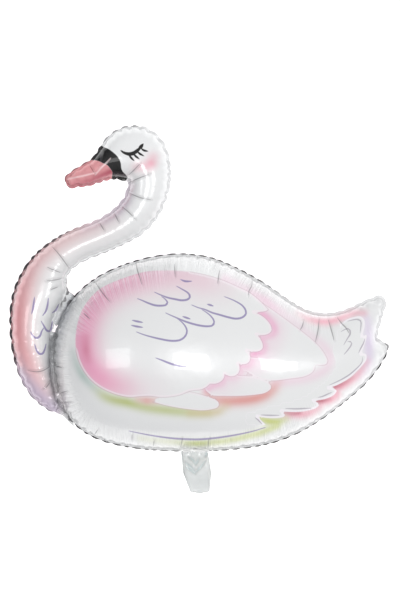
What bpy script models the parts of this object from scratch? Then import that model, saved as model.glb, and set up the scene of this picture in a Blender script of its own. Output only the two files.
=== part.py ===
"""A swan-shaped foil balloon, inflated and lying on its side.

Two sheets of film are cut to one outline and heat-sealed together along a band
round the body with its tail, and round the neck with the head and bill. The two
lobes share one stretch of the band, at the breast. A flat filling tail of the
same film hangs from the belly. Gas holds both lobes out, so the balloon is one
sealed piece, and its rim is crimped because the seam is shorter than the film.

X runs from the breast to the tail, Y from the belly to the head, and Z up, from
the floor that the balloon lies on. All sizes are in metres.
"""

import math

import bmesh
import bpy
import numpy as np
from mathutils import geometry

# Driving dimensions
LENGTH = 0.80  # breast to tail, which the outlines below are shares of
BODY_THICKNESS = 0.270  # body lobe at its fullest, from sheet to sheet
NECK_THICKNESS = 0.084  # neck lobe at its fullest, which is in the head
SEAM_WIDTH = 0.006  # heat-sealed band outside each lobe
SEAM_THICKNESS = 0.0008  # the two sealed sheets
REST_FLAT_DEPTH = 0.005  # how far the floor presses the lower sheet in
FILLING_TAIL_LENGTH = 0.090
FILLING_TAIL_ROOT_WIDTH = 0.056
FILLING_TAIL_END_WIDTH = 0.040
FILLING_TAIL_LEAN = 0.011  # how far the free end stands towards the swan's tail
FILLING_TAIL_PLACE = 0.486  # share of LENGTH behind the breast
BODY_CRIMP_PITCH = 0.027
NECK_CRIMP_PITCH = 0.028
CRIMP_SCALLOP = 0.0016  # how far the rim stands out between two creases
SHEET_SPACING = 0.021  # between the points of the sheet inside the rim

# Rows of points beside the seam: distance from it, and how much of the height
# a crease takes away there
RIM_ROWS = ((0.003, 0.26), (0.012, 0.07))
POINTS_PER_CRIMP = 3

# Seam lines, in percent of LENGTH from the breast and up from the belly. Each
# run is smooth, and two runs meet in a corner.
TAIL_TOP = (97.9, 40.0)
TAIL_NOTCH = (95.7, 29.4)
TAIL_LOW = (98.7, 27.6)
BODY_SEAM = (
    (
        TAIL_TOP, (97.0, 40.3), (94.8, 39.6), (92.2, 38.5), (89.3, 37.1), (86.3, 36.1),
        (81.9, 35.7), (77.5, 36.7), (73.1, 39.2), (66.4, 43.8), (59.1, 47.8), (52.4, 50.4),
        (44.8, 51.3), (37.0, 50.4), (29.3, 48.1), (23.2, 45.1), (18.1, 40.9), (14.2, 35.1),
        (12.2, 28.7), (12.0, 23.6), (12.6, 18.5), (14.1, 13.4), (16.3, 9.3), (19.5, 6.1),
        (23.6, 3.9), (28.7, 2.4), (34.9, 1.4), (42.2, 0.9), (50.0, 0.8), (57.8, 1.2),
        (64.3, 2.0), (70.2, 3.4), (75.8, 5.7), (82.3, 9.6), (88.3, 14.2), (92.9, 18.3),
        (96.4, 22.6), (98.4, 26.2), TAIL_LOW,
    ),
    (TAIL_LOW, (97.4, 28.5), TAIL_NOTCH),
    (TAIL_NOTCH, (96.2, 32.4), (97.2, 35.8), (98.0, 38.6), TAIL_TOP),
)
CHEST_TIP = (12.1, 10.9)
CHIN = (31.9, 71.4)
NECK_FOOT = (14.8, 42.2)
NECK_SEAM = (
    (
        CHEST_TIP, (10.1, 11.8), (6.8, 14.5), (4.1, 18.4), (2.3, 23.0), (1.2, 28.1),
        (0.8, 33.3), (1.0, 38.4), (2.0, 42.8), (4.1, 47.2), (6.8, 50.9), (10.4, 54.0),
        (14.2, 56.4), (18.9, 58.5), (23.6, 60.4), (27.4, 62.8), (30.0, 65.5), (31.4, 68.3), CHIN,
    ),
    (
        CHIN, (29.4, 71.8), (27.2, 72.0), (24.7, 71.5), (22.3, 70.7), (20.1, 70.1),
        (18.0, 70.0), (16.6, 69.7), (15.6, 70.1), (15.2, 70.9), (15.5, 72.0), (16.9, 73.1),
        (18.7, 74.2), (20.5, 75.3), (22.1, 76.4), (23.3, 78.0), (24.6, 79.9), (25.9, 81.7),
        (27.7, 83.3), (29.8, 84.4), (32.5, 84.8), (35.4, 84.5), (37.8, 83.1), (39.8, 81.0),
        (41.0, 78.3), (41.7, 75.1), (41.7, 71.3), (40.9, 67.2), (39.3, 63.2), (36.9, 59.8),
        (33.9, 57.1), (30.6, 55.3), (26.7, 53.5), (22.7, 51.9), (19.0, 50.3), (16.0, 48.2),
        (14.5, 45.8), (14.5, 43.9), NECK_FOOT,
    ),
    (
        NECK_FOOT, (13.9, 39.9), (12.3, 37.0), (11.1, 33.4), (10.7, 28.9), (10.6, 23.6),
        (11.1, 18.6), (11.9, 14.6), (12.2, 12.4), CHEST_TIP,
    ),
)
PERCENT = 0.01
STEPS_PER_SPAN = 14  # points of the smooth curve between two given points
NEAR_ENOUGH = 0.9  # share of a row's distance that its points keep to the seam
MERGE_DISTANCE = 0.00005
PEARL_WHITE = (0.86, 0.84, 0.86, 1.0)


def smooth_run(points):
    """A centripetal Catmull-Rom curve through the points of one run."""
    given = np.array(points, float)
    ends = (2 * given[0] - given[1], 2 * given[-1] - given[-2])
    knots = np.vstack([ends[0], given, ends[1]])
    curve = []
    for a, b, c, d in zip(knots, knots[1:], knots[2:], knots[3:]):
        t0 = 0.0
        t1 = t0 + math.sqrt(np.linalg.norm(b - a))
        t2 = t1 + math.sqrt(np.linalg.norm(c - b))
        t3 = t2 + math.sqrt(np.linalg.norm(d - c))
        for t in np.linspace(t1, t2, STEPS_PER_SPAN, endpoint=False):
            ab = ((t1 - t) * a + (t - t0) * b) / (t1 - t0)
            bc = ((t2 - t) * b + (t - t1) * c) / (t2 - t1)
            cd = ((t3 - t) * c + (t - t2) * d) / (t3 - t2)
            abc = ((t2 - t) * ab + (t - t0) * bc) / (t2 - t0)
            bcd = ((t3 - t) * bc + (t - t1) * cd) / (t3 - t1)
            curve.append(((t2 - t) * abc + (t - t1) * bcd) / (t2 - t1))
    curve.append(given[-1])
    return np.array(curve)


def evenly_spaced(curve, count):
    """count points along an open curve, evenly spaced, without its last one."""
    steps = np.linalg.norm(np.diff(curve, axis=0), axis=1)
    along = np.concatenate([[0.0], np.cumsum(steps)])
    wanted = np.linspace(0.0, along[-1], count, endpoint=False)
    return np.column_stack([np.interp(wanted, along, curve[:, k]) for k in (0, 1)])


def seam_line(runs, pitch):
    """The seam as a closed loop, with a whole number of crimps in each run.

    It runs counterclockwise, and its first point is a crease.
    """
    loop = []
    for run in runs:
        curve = smooth_run(run) * PERCENT * LENGTH
        length = np.linalg.norm(np.diff(curve, axis=0), axis=1).sum()
        crimps = max(1, round(length / pitch))
        loop.extend(evenly_spaced(curve, crimps * POINTS_PER_CRIMP))
    loop = np.array(loop)
    after = np.roll(loop, -1, axis=0)
    if np.sum(loop[:, 0] * after[:, 1] - after[:, 0] * loop[:, 1]) < 0:
        loop = np.roll(loop[::-1], 1, axis=0)
    return loop


def inward_normals(loop):
    """Unit vectors that point into a counterclockwise loop at its points."""
    along = np.roll(loop, -1, axis=0) - np.roll(loop, 1, axis=0)
    along /= np.linalg.norm(along, axis=1)[:, None]
    return np.column_stack([-along[:, 1], along[:, 0]])


def distance_to_loop(points, loop):
    """Distance from each point to the nearest side of a closed loop."""
    start = loop[None, :, :]
    side = np.roll(loop, -1, axis=0)[None, :, :] - start
    offset = points[:, None, :] - start
    share = np.clip((offset * side).sum(2) / (side * side).sum(2), 0.0, 1.0)
    return np.linalg.norm(offset - share[:, :, None] * side, axis=2).min(1)


def inside_loop(points, loop):
    """Whether each point lies inside a closed loop, by counting crossings."""
    x, y = points[:, 0, None], points[:, 1, None]
    ax, ay = loop[None, :, 0], loop[None, :, 1]
    bx, by = np.roll(ax, -1, axis=1), np.roll(ay, -1, axis=1)
    straddles = (ay > y) != (by > y)
    rise = np.where(by == ay, 1.0, by - ay)
    crosses = straddles & (x < ax + (y - ay) * (bx - ax) / rise)
    return crosses.sum(1) % 2 == 1


def is_crease(loop):
    """Which points of a seam lie in a crease between two crimps."""
    return np.arange(len(loop)) % POINTS_PER_CRIMP == 0


def film_edge(neck, body):
    """The cut edge of the film: the seams moved out by the band's width.

    Points that would fall in the other lobe or in the shared band are left out,
    so the edge runs straight across there, from one lobe to the other.
    """
    kept = []
    for own, other in ((neck, body), (body, neck)):
        stands_out = np.where(is_crease(own), 0.0, CRIMP_SCALLOP)
        moved = own - inward_normals(own) * (SEAM_WIDTH + stands_out)[:, None]
        shared = distance_to_loop(moved, other) < 1.5 * SEAM_WIDTH
        shared |= inside_loop(moved, other)
        clear = ~shared & (distance_to_loop(moved, own) > NEAR_ENOUGH * SEAM_WIDTH)
        first = int(np.argmax(~shared & np.roll(shared, 1)))
        order = (first + np.arange(len(own))) % len(own)
        kept.append(moved[order][clear[order]])
    return np.vstack(kept)


def filling_tail(body):
    """Outline of the flat tail that the gas is let in through."""
    middle = FILLING_TAIL_PLACE * LENGTH
    belly = np.interp(middle, *np.sort(body[body[:, 1] < 0.03 * LENGTH], axis=0).T)
    root = min(belly, body[:, 1].min()) - SEAM_WIDTH / 2
    end = root - FILLING_TAIL_LENGTH
    half_root = FILLING_TAIL_ROOT_WIDTH / 2
    half_end = FILLING_TAIL_END_WIDTH / 2
    shoulder = root - SEAM_WIDTH
    return np.array(
        [
            (middle - half_root, root),
            (middle - half_root, shoulder),
            (middle - half_end + FILLING_TAIL_LEAN, end),
            (middle + half_end + FILLING_TAIL_LEAN, end),
            (middle + half_root, shoulder),
            (middle + half_root, root),
        ]
    )


def sheet_grid(loop, gap):
    """Points in staggered rows inside a loop, at least gap away from it."""
    low, high = loop.min(0), loop.max(0)
    row_step = SHEET_SPACING * math.sqrt(3) / 2
    rows = math.ceil((high[1] - low[1]) / row_step)
    columns = math.ceil((high[0] - low[0]) / SHEET_SPACING) + 1
    grid = np.array(
        [
            (low[0] + (c + 0.5 * (r % 2)) * SHEET_SPACING, low[1] + r * row_step)
            for r in range(rows)
            for c in range(columns)
        ]
    )
    keep = inside_loop(grid, loop) & (distance_to_loop(grid, loop) > gap)
    return grid[keep]


class FrontSheet:
    """The upper sheet as a flat triangle net, and the height of each point."""

    def __init__(self):
        self.points = []
        self.creases = []
        self.sides = []

    def add_points(self, points, creases=None):
        """Adds points, with the share of height that a crease takes from each."""
        first = len(self.points)
        self.points.extend(map(tuple, points))
        self.creases.extend(np.zeros(len(points)) if creases is None else creases)
        return first

    def add_loop(self, loop):
        """Adds a closed loop whose sides the net has to keep."""
        first = self.add_points(loop)
        count = len(loop)
        self.sides.extend((first + i, first + (i + 1) % count) for i in range(count))

    def add_lobe(self, seam):
        """Adds a lobe's seam, the rows beside it and the points inside them."""
        self.add_loop(seam)
        creased = is_crease(seam)
        for distance, share in RIM_ROWS:
            row = seam + inward_normals(seam) * distance
            keep = distance_to_loop(row, seam) > NEAR_ENOUGH * distance
            self.add_points(row[keep], np.where(creased, share, 0.0)[keep])
        gap = RIM_ROWS[-1][0] + SHEET_SPACING / 2
        self.add_points(sheet_grid(seam, gap))

    def triangulate(self, outlines):
        """Joins the points to triangles, and keeps those inside an outline."""
        result = geometry.delaunay_2d_cdt(
            self.points, self.sides, [], 0, MERGE_DISTANCE, True
        )
        flat = np.array([tuple(v) for v in result[0]])
        triangles = np.array(result[2])
        middles = flat[triangles].mean(axis=1)
        keep = np.zeros(len(triangles), bool)
        for outline in outlines:
            keep |= inside_loop(middles, outline)
        crease_of = np.array([self.creases[ids[0]] if ids else 0.0 for ids in result[3]])
        return flat, triangles[keep], crease_of


def membrane(flat, triangles, free):
    """Height, to a factor, of a membrane that gas lifts off its rim.

    It is the linear finite-element solution of the evenly loaded membrane, held
    at every point that isn't free.
    """
    a, b, c = (flat[triangles[:, k]] for k in range(3))
    edges = np.stack([c - b, a - c, b - a], axis=1)
    area = 0.5 * np.abs(edges[:, 0, 0] * edges[:, 1, 1] - edges[:, 0, 1] * edges[:, 1, 0])
    stiffness = np.zeros((len(flat), len(flat)))
    load = np.zeros(len(flat))
    for i in range(3):
        np.add.at(load, triangles[:, i], area / 3)
        for j in range(3):
            entry = (edges[:, i] * edges[:, j]).sum(1) / (4 * area)
            np.add.at(stiffness, (triangles[:, i], triangles[:, j]), entry)
    lift = np.zeros(len(flat))
    chosen = np.flatnonzero(free)
    lift[chosen] = np.linalg.solve(stiffness[np.ix_(chosen, chosen)], load[chosen])
    return np.maximum(lift, 0.0)


def lobe_heights(flat, triangles, seam, thickness):
    """Heights over the seam plane of a lobe that is so thick at its fullest.

    The square root of the membrane's lift is a half circle across a long tube
    and a half ellipse across a round lobe, as an inflated film takes.
    """
    free = inside_loop(flat, seam) & (distance_to_loop(flat, seam) > MERGE_DISTANCE)
    lift = membrane(flat, triangles, free)
    return thickness / 2 * np.sqrt(lift / lift.max())


def front_mesh(name):
    """The upper half of the envelope, open at the seam plane."""
    body = seam_line(BODY_SEAM, BODY_CRIMP_PITCH)
    neck = seam_line(NECK_SEAM, NECK_CRIMP_PITCH)
    edge = film_edge(neck, body)
    tail = filling_tail(body)
    sheet = FrontSheet()
    sheet.add_loop(edge)
    sheet.add_loop(tail)
    sheet.add_lobe(body)
    sheet.add_lobe(neck)
    flat, triangles, crease = sheet.triangulate((edge, tail))
    height = lobe_heights(flat, triangles, body, BODY_THICKNESS)
    height += lobe_heights(flat, triangles, neck, NECK_THICKNESS)
    height = height * (1 - crease) + SEAM_THICKNESS / 2

    low, high = flat[np.unique(triangles)].min(0), flat[np.unique(triangles)].max(0)
    flat = flat - (low + high) / 2
    mesh = bpy.data.meshes.new(name)
    shape = bmesh.new()
    verts = [shape.verts.new((x, y, z)) for (x, y), z in zip(flat, height)]
    for corners in triangles:
        shape.faces.new([verts[i] for i in corners])
    loose = [v for v in shape.verts if not v.link_faces]
    bmesh.ops.delete(shape, geom=loose, context="VERTS")
    bmesh.ops.recalc_face_normals(shape, faces=shape.faces)
    if sum(f.normal.z for f in shape.faces) < 0:
        bmesh.ops.reverse_faces(shape, faces=shape.faces)
    rim = [e for e in shape.edges if e.is_boundary]
    wall = bmesh.ops.extrude_edge_only(shape, edges=rim)["geom"]
    for vert in (v for v in wall if isinstance(v, bmesh.types.BMVert)):
        vert.co.z = 0.0
    shape.to_mesh(mesh)
    shape.free()
    return mesh


def foil_material():
    """Pearl-white printed film with a soft metallic shine."""
    material = bpy.data.materials.new("pearl_foil")
    material.use_nodes = True
    shader = material.node_tree.nodes["Principled BSDF"]
    shader.inputs["Base Color"].default_value = PEARL_WHITE
    shader.inputs["Metallic"].default_value = 0.25
    shader.inputs["Roughness"].default_value = 0.16
    return material


def floor_cutter(collection, mesh):
    """A block under the floor, which takes off what the floor presses flat."""
    size = 2 * LENGTH
    bpy.ops.mesh.primitive_cube_add(size=size, location=(0, 0, -size / 2))
    cutter = bpy.context.object
    cutter.name = mesh
    cutter.hide_render = True
    cutter.display_type = "WIRE"
    for holder in list(cutter.users_collection):
        holder.objects.unlink(cutter)
    collection.objects.link(cutter)
    return cutter


def build_envelope(collection, cutters):
    """The whole sealed envelope, lying on its lower sheet."""
    envelope = bpy.data.objects.new("foil_envelope", front_mesh("foil_envelope"))
    envelope.location.z = BODY_THICKNESS / 2 + SEAM_THICKNESS / 2 - REST_FLAT_DEPTH
    envelope.data.materials.append(foil_material())
    collection.objects.link(envelope)
    mirror = envelope.modifiers.new("lower sheet", "MIRROR")
    mirror.use_axis = (False, False, True)
    mirror.merge_threshold = MERGE_DISTANCE
    flat = envelope.modifiers.new("rest flat", "BOOLEAN")
    flat.operation = "DIFFERENCE"
    flat.object = floor_cutter(cutters, "floor_cutter")
    envelope.data.shade_smooth()
    envelope.data.set_sharp_from_angle(angle=math.radians(50))
    return envelope


def main():
    """Clears the scene and builds the balloon."""
    for old in list(bpy.data.objects):
        bpy.data.objects.remove(old)
    scene = bpy.context.scene.collection
    balloon = bpy.data.collections.new("swan_foil_balloon")
    cutters = bpy.data.collections.new("cutters")
    scene.children.link(balloon)
    scene.children.link(cutters)
    build_envelope(balloon, cutters)


main()
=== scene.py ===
"""Swan foil balloon: the inflated film, its crimped seam, its print and its studio.

Two sheets of film are sealed along one band round the body and one round the neck.
The flat net of both sheets is drawn up to the inflated form, crimped along the
seams, and let out by gas in a short cloth run with the seams held. The print is
kept as smooth fields over the film, which the material turns to edges and lines.
Some shade and highlights are painted into these fields and into the material.
"""

import logging
import math
from dataclasses import dataclass, field
from enum import Enum
from typing import ClassVar

import bpy
import numpy as np
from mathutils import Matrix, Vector, geometry


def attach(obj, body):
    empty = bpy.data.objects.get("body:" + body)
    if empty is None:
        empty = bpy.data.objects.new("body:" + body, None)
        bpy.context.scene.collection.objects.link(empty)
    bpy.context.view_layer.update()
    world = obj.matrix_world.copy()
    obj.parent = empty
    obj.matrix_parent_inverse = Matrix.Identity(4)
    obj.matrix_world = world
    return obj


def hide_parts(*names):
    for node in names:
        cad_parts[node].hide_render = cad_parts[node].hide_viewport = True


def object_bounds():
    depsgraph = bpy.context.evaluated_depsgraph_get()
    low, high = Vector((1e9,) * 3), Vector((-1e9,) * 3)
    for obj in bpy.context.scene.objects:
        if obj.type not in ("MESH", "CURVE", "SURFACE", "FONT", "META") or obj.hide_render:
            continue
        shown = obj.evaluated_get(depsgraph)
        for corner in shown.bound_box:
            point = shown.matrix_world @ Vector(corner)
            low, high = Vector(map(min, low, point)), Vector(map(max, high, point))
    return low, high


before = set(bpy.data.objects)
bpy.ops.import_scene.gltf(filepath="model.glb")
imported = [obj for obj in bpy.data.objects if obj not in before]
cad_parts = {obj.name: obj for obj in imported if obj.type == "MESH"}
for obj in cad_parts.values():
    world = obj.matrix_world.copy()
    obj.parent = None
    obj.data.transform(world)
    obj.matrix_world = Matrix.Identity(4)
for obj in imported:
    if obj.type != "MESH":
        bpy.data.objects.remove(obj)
CAD_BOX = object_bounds()

log = logging.getLogger("swan_foil_balloon")

PERCENT = 0.01
TINY = 1e-9
BATCH = 4000  # points measured at a time
ALL_THE_WAY = 9.0  # a reach past the middle of any lobe

# Seam lines, in percent of the length from the breast and up from the belly
TAIL_TOP = (97.9, 40.0)
TAIL_NOTCH = (95.7, 29.4)
TAIL_LOW = (98.7, 27.6)
BODY_SEAM = (
    (
        TAIL_TOP, (97.0, 40.3), (94.8, 39.6), (92.2, 38.5), (89.3, 37.1), (86.3, 36.1),
        (81.9, 35.7), (77.5, 36.7), (73.1, 39.2), (66.4, 43.8), (59.1, 47.8), (52.4, 50.4),
        (44.8, 51.3), (37.0, 50.4), (29.3, 48.1), (23.2, 45.1), (18.1, 40.9), (14.2, 35.1),
        (12.2, 28.7), (12.0, 23.6), (12.6, 18.5), (14.1, 13.4), (16.3, 9.3), (19.5, 6.1),
        (23.6, 3.9), (28.7, 2.4), (34.9, 1.4), (42.2, 0.9), (50.0, 0.8), (57.8, 1.2),
        (64.3, 2.0), (70.2, 3.4), (75.8, 5.7), (82.3, 9.6), (88.3, 14.2), (92.9, 18.3),
        (96.4, 22.6), (98.4, 26.2), TAIL_LOW,
    ),
    (TAIL_LOW, (97.4, 28.5), TAIL_NOTCH),
    (TAIL_NOTCH, (96.2, 32.4), (97.2, 35.8), (98.0, 38.6), TAIL_TOP),
)
CHEST_TIP = (12.1, 10.9)
CHIN = (31.9, 71.4)
NECK_FOOT = (14.8, 42.2)
NECK_SEAM = (
    (
        CHEST_TIP, (10.1, 11.8), (6.8, 14.5), (4.1, 18.4), (2.3, 23.0), (1.2, 28.1),
        (0.8, 33.3), (1.0, 38.4), (2.0, 42.8), (4.1, 47.2), (6.8, 50.9), (10.4, 54.0),
        (14.2, 56.4), (18.9, 58.5), (23.6, 60.4), (27.4, 62.8), (30.0, 65.5), (31.4, 68.3), CHIN,
    ),
    (
        CHIN, (29.4, 71.8), (27.2, 72.0), (24.7, 71.5), (22.3, 70.7), (20.1, 70.1),
        (18.0, 70.0), (16.6, 69.7), (15.6, 70.1), (15.2, 70.9), (15.5, 72.0), (16.9, 73.1),
        (18.7, 74.2), (20.5, 75.3), (22.1, 76.4), (23.3, 78.0), (24.6, 79.9), (25.9, 81.7),
        (27.7, 83.3), (29.8, 84.4), (32.5, 84.8), (35.4, 84.5), (37.8, 83.1), (39.8, 81.0),
        (41.0, 78.3), (41.7, 75.1), (41.7, 71.3), (40.9, 67.2), (39.3, 63.2), (36.9, 59.8),
        (33.9, 57.1), (30.6, 55.3), (26.7, 53.5), (22.7, 51.9), (19.0, 50.3), (16.0, 48.2),
        (14.5, 45.8), (14.5, 43.9), NECK_FOOT,
    ),
    (
        NECK_FOOT, (13.9, 39.9), (12.3, 37.0), (11.1, 33.4), (10.7, 28.9), (10.6, 23.6),
        (11.1, 18.6), (11.9, 14.6), (12.2, 12.4), CHEST_TIP,
    ),
)

# The web at the foot of the neck, and the one in the wedge behind it
WEBS = (
    (
        (12.0, 10.3), (13.9, 9.6), (15.2, 8.5), (17.1, 6.6), (16.5, 8.0), (15.6, 9.7), (14.7, 11.4),
        (13.7, 13.6), (13.2, 15.2), (12.8, 14.1), (12.7, 12.6), (12.6, 11.3),
    ),
    (
        (15.15, 42.3), (15.9, 41.9), (16.7, 41.3), (17.3, 40.85), (17.0, 40.2), (16.2, 39.3),
        (15.4, 38.2),
        (14.6, 37.0), (13.9, 35.7), (13.1, 33.8), (12.2, 33.0), (11.75, 34.2), (12.15, 35.4),
        (12.75, 36.8),
        (13.5, 38.1), (14.3, 39.6), (15.0, 41.0),
    ),
)


class Lobe(Enum):
    """The parts of the film, as the triangles of the net are labelled."""

    FLAT = 0
    BODY = 1
    NECK = 2


@dataclass(frozen=True)
class CrimpSizes:
    """How the crimps of a seam are laid, in metres and in shares."""

    pitch: float = 0.0205  # usual width of a crimp
    breast_pitch: float = 0.024
    breast: tuple = (0.09, 0.42)  # the breast lies this side of both
    widths: tuple = (0.68, 1.36)  # least and greatest share of the pitch
    depths: tuple = (0.65, 1.15)
    reaches: tuple = (0.6, 1.6)
    least_spare: float = 0.010  # share of spare film along a straight seam
    most_spare: float = 0.4
    bend_share: float = 0.57
    notch: float = 0.0040  # how far a crease draws the rim in
    rim_swing: float = 0.6
    rim_fade: float = 0.012
    unevenness: float = 0.00015


@dataclass(frozen=True)
class RibSizes:
    """How far the fine ribs run in from the body's seam, in metres."""

    start: float = 0.045
    end: float = 0.085
    shoulder_end: float = 0.125  # they run further in at the wing's shoulder
    shoulder: tuple = (0.34, 0.24)  # its far side and its lower side
    tail: tuple = (0.56, 0.68)  # where they die out towards the tail


@dataclass(frozen=True)
class FlatFilmSizes:
    """How the unfilled film of the webs and the filling tail is creased, in metres."""

    web_creasing: tuple = (0.0013, 0.0005)
    tail_start: float = 0.008
    tail_run: float = 0.08
    fold_height: float = 0.0022
    folds_per_metre: float = 230
    fold_sway: tuple = (3, 5)
    fold_fade: float = 2.5
    sag: float = 0.006
    sag_turn: float = 4.2
    stiff_root: float = 0.25


@dataclass(frozen=True)
class FilmSizes:
    """Named sizes of the film, in metres."""

    length: float = 0.80
    centre: tuple = (0.39703, 0.29964)
    seam_height: float = 0.1304
    body_half: float = 0.1335
    neck_half: float = 0.0425
    seam_width: float = 0.006
    film: float = 0.0004
    rim_spacing: float = 0.0042
    sheet_spacing: float = 0.0090
    rim_zone: float = 0.034
    tail_length: float = 0.090
    tail_root: float = 0.056
    tail_end: float = 0.040
    tail_lean: float = 0.011
    tail_place: float = 0.486
    crimps: CrimpSizes = CrimpSizes()
    ribs: RibSizes = RibSizes()
    flat: FlatFilmSizes = FlatFilmSizes()


@dataclass(frozen=True)
class GasRun:
    """Settings of the cloth run that lets the gas pull the film taut."""

    frames: int = 14
    pressure: float = 30.0
    mass: float = 0.001
    tension: float = 15.0
    shear: float = 5.0
    bending: float = 0.5


def smooth_run(points: tuple, steps: int = 40) -> np.ndarray:
    """Runs a centripetal Catmull-Rom curve through points.

    Args:
        points: The given points, two numbers each.
        steps: Curve points for each span.

    Returns:
        The points of the curve, ends included.
    """
    given = np.array(points, float)[:, :2]
    knots = np.vstack([2 * given[0] - given[1], given, 2 * given[-1] - given[-2]])
    share = np.linspace(0.0, 1.0, steps, endpoint=False)[:, None]
    curve = []
    for a, b, c, d in zip(knots, knots[1:], knots[2:], knots[3:]):
        t1 = math.sqrt(np.linalg.norm(b - a)) + TINY
        t2 = t1 + math.sqrt(np.linalg.norm(c - b)) + TINY
        t3 = t2 + math.sqrt(np.linalg.norm(d - c)) + TINY
        t = t1 + (t2 - t1) * share
        ab = ((t1 - t) * a + t * b) / t1
        bc = ((t2 - t) * b + (t - t1) * c) / (t2 - t1)
        cd = ((t3 - t) * c + (t - t2) * d) / (t3 - t2)
        abc = ((t2 - t) * ab + t * bc) / t2
        bcd = ((t3 - t) * bc + (t - t1) * cd) / (t3 - t1)
        curve.append(((t2 - t) * abc + (t - t1) * bcd) / (t2 - t1))
    return np.vstack(curve + [given[-1:]])


def segment_distance(points: np.ndarray, path: np.ndarray, closed: bool) -> tuple:
    """Measures points against a path of straight pieces.

    Args:
        points: The points to measure, one row each.
        path: The path's points in order.
        closed: Whether the path returns to its start.

    Returns:
        The distances, and the place along the path as a fractional index.
    """
    ends = np.roll(path, -1, axis=0) if closed else path[1:]
    starts = path if closed else path[:-1]
    side = ends - starts
    square = (side * side).sum(1) + TINY * TINY
    distance = np.empty(len(points))
    place = np.empty(len(points))
    for low in range(0, len(points), BATCH):
        offset = points[low : low + BATCH, None, :] - starts[None]
        share = np.clip((offset * side).sum(2) / square, 0.0, 1.0)
        gap = ((offset - share[:, :, None] * side) ** 2).sum(2)
        nearest = gap.argmin(1)
        rows = np.arange(len(nearest))
        distance[low : low + BATCH] = np.sqrt(gap[rows, nearest])
        place[low : low + BATCH] = nearest + share[rows, nearest]
    return distance, place


def inside_loop(points: np.ndarray, loop: np.ndarray) -> np.ndarray:
    """Says which points lie inside a closed loop.

    Args:
        points: The points to test.
        loop: The loop's points in order.

    Returns:
        One truth value for each point.
    """
    ax, ay = loop[None, :, 0], loop[None, :, 1]
    bx, by = np.roll(ax, -1, axis=1), np.roll(ay, -1, axis=1)
    rise = np.where(by == ay, 1.0, by - ay)
    found = np.empty(len(points), bool)
    for low in range(0, len(points), BATCH):
        x = points[low : low + BATCH, 0, None]
        y = points[low : low + BATCH, 1, None]
        crosses = ((ay > y) != (by > y)) & (x < ax + (y - ay) * (bx - ax) / rise)
        found[low : low + BATCH] = crosses.sum(1) % 2 == 1
    return found


def signed_distance(points: np.ndarray, loop: np.ndarray) -> np.ndarray:
    """Distance to a closed loop, negative inside it.

    Args:
        points: The points to measure.
        loop: The loop's points in order.

    Returns:
        The signed distances.
    """
    distance = segment_distance(points, loop, True)[0]
    return np.where(inside_loop(points, loop), -distance, distance)


def rows_near(points: np.ndarray, curve: np.ndarray, margin: float) -> np.ndarray:
    """Finds the points in the box round a curve.

    Args:
        points: The points.
        curve: The curve's points.
        margin: How far the box reaches past the curve.

    Returns:
        The rows of those points.
    """
    low, high = curve.min(0) - margin, curve.max(0) + margin
    return np.flatnonzero(((points > low) & (points < high)).all(axis=1))


def smooth_step(values: np.ndarray, low: float, high: float) -> np.ndarray:
    """Rises smoothly from 0 at low to 1 at high.

    Args:
        values: The numbers to map.
        low: Where the rise starts.
        high: Where it ends.

    Returns:
        The mapped numbers.
    """
    share = np.clip((values - low) / (high - low), 0.0, 1.0)
    return share * share * (3.0 - 2.0 * share)


def to_light(display: tuple) -> np.ndarray:
    """Turns a colour as a screen shows it to amounts of light.

    Args:
        display: Red, green and blue from 0 to 1 as shown.

    Returns:
        The amounts of light.
    """
    shown = np.array(display, float)
    return np.where(shown <= 0.04045, shown / 12.92, ((shown + 0.055) / 1.055) ** 2.4)


def ring_smooth(values: np.ndarray, reach: int) -> np.ndarray:
    """Smooths values round a closed loop.

    Args:
        values: One value, or one row, for each point of the loop.
        reach: Standard deviation of the smoothing, in points.

    Returns:
        The smoothed values.
    """
    total = np.zeros_like(values, dtype=float)
    weight = 0.0
    for step in range(-3 * reach, 3 * reach + 1):
        share = math.exp(-0.5 * (step / reach) ** 2)
        total += share * np.roll(values, step, axis=0)
        weight += share
    return total / weight


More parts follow.
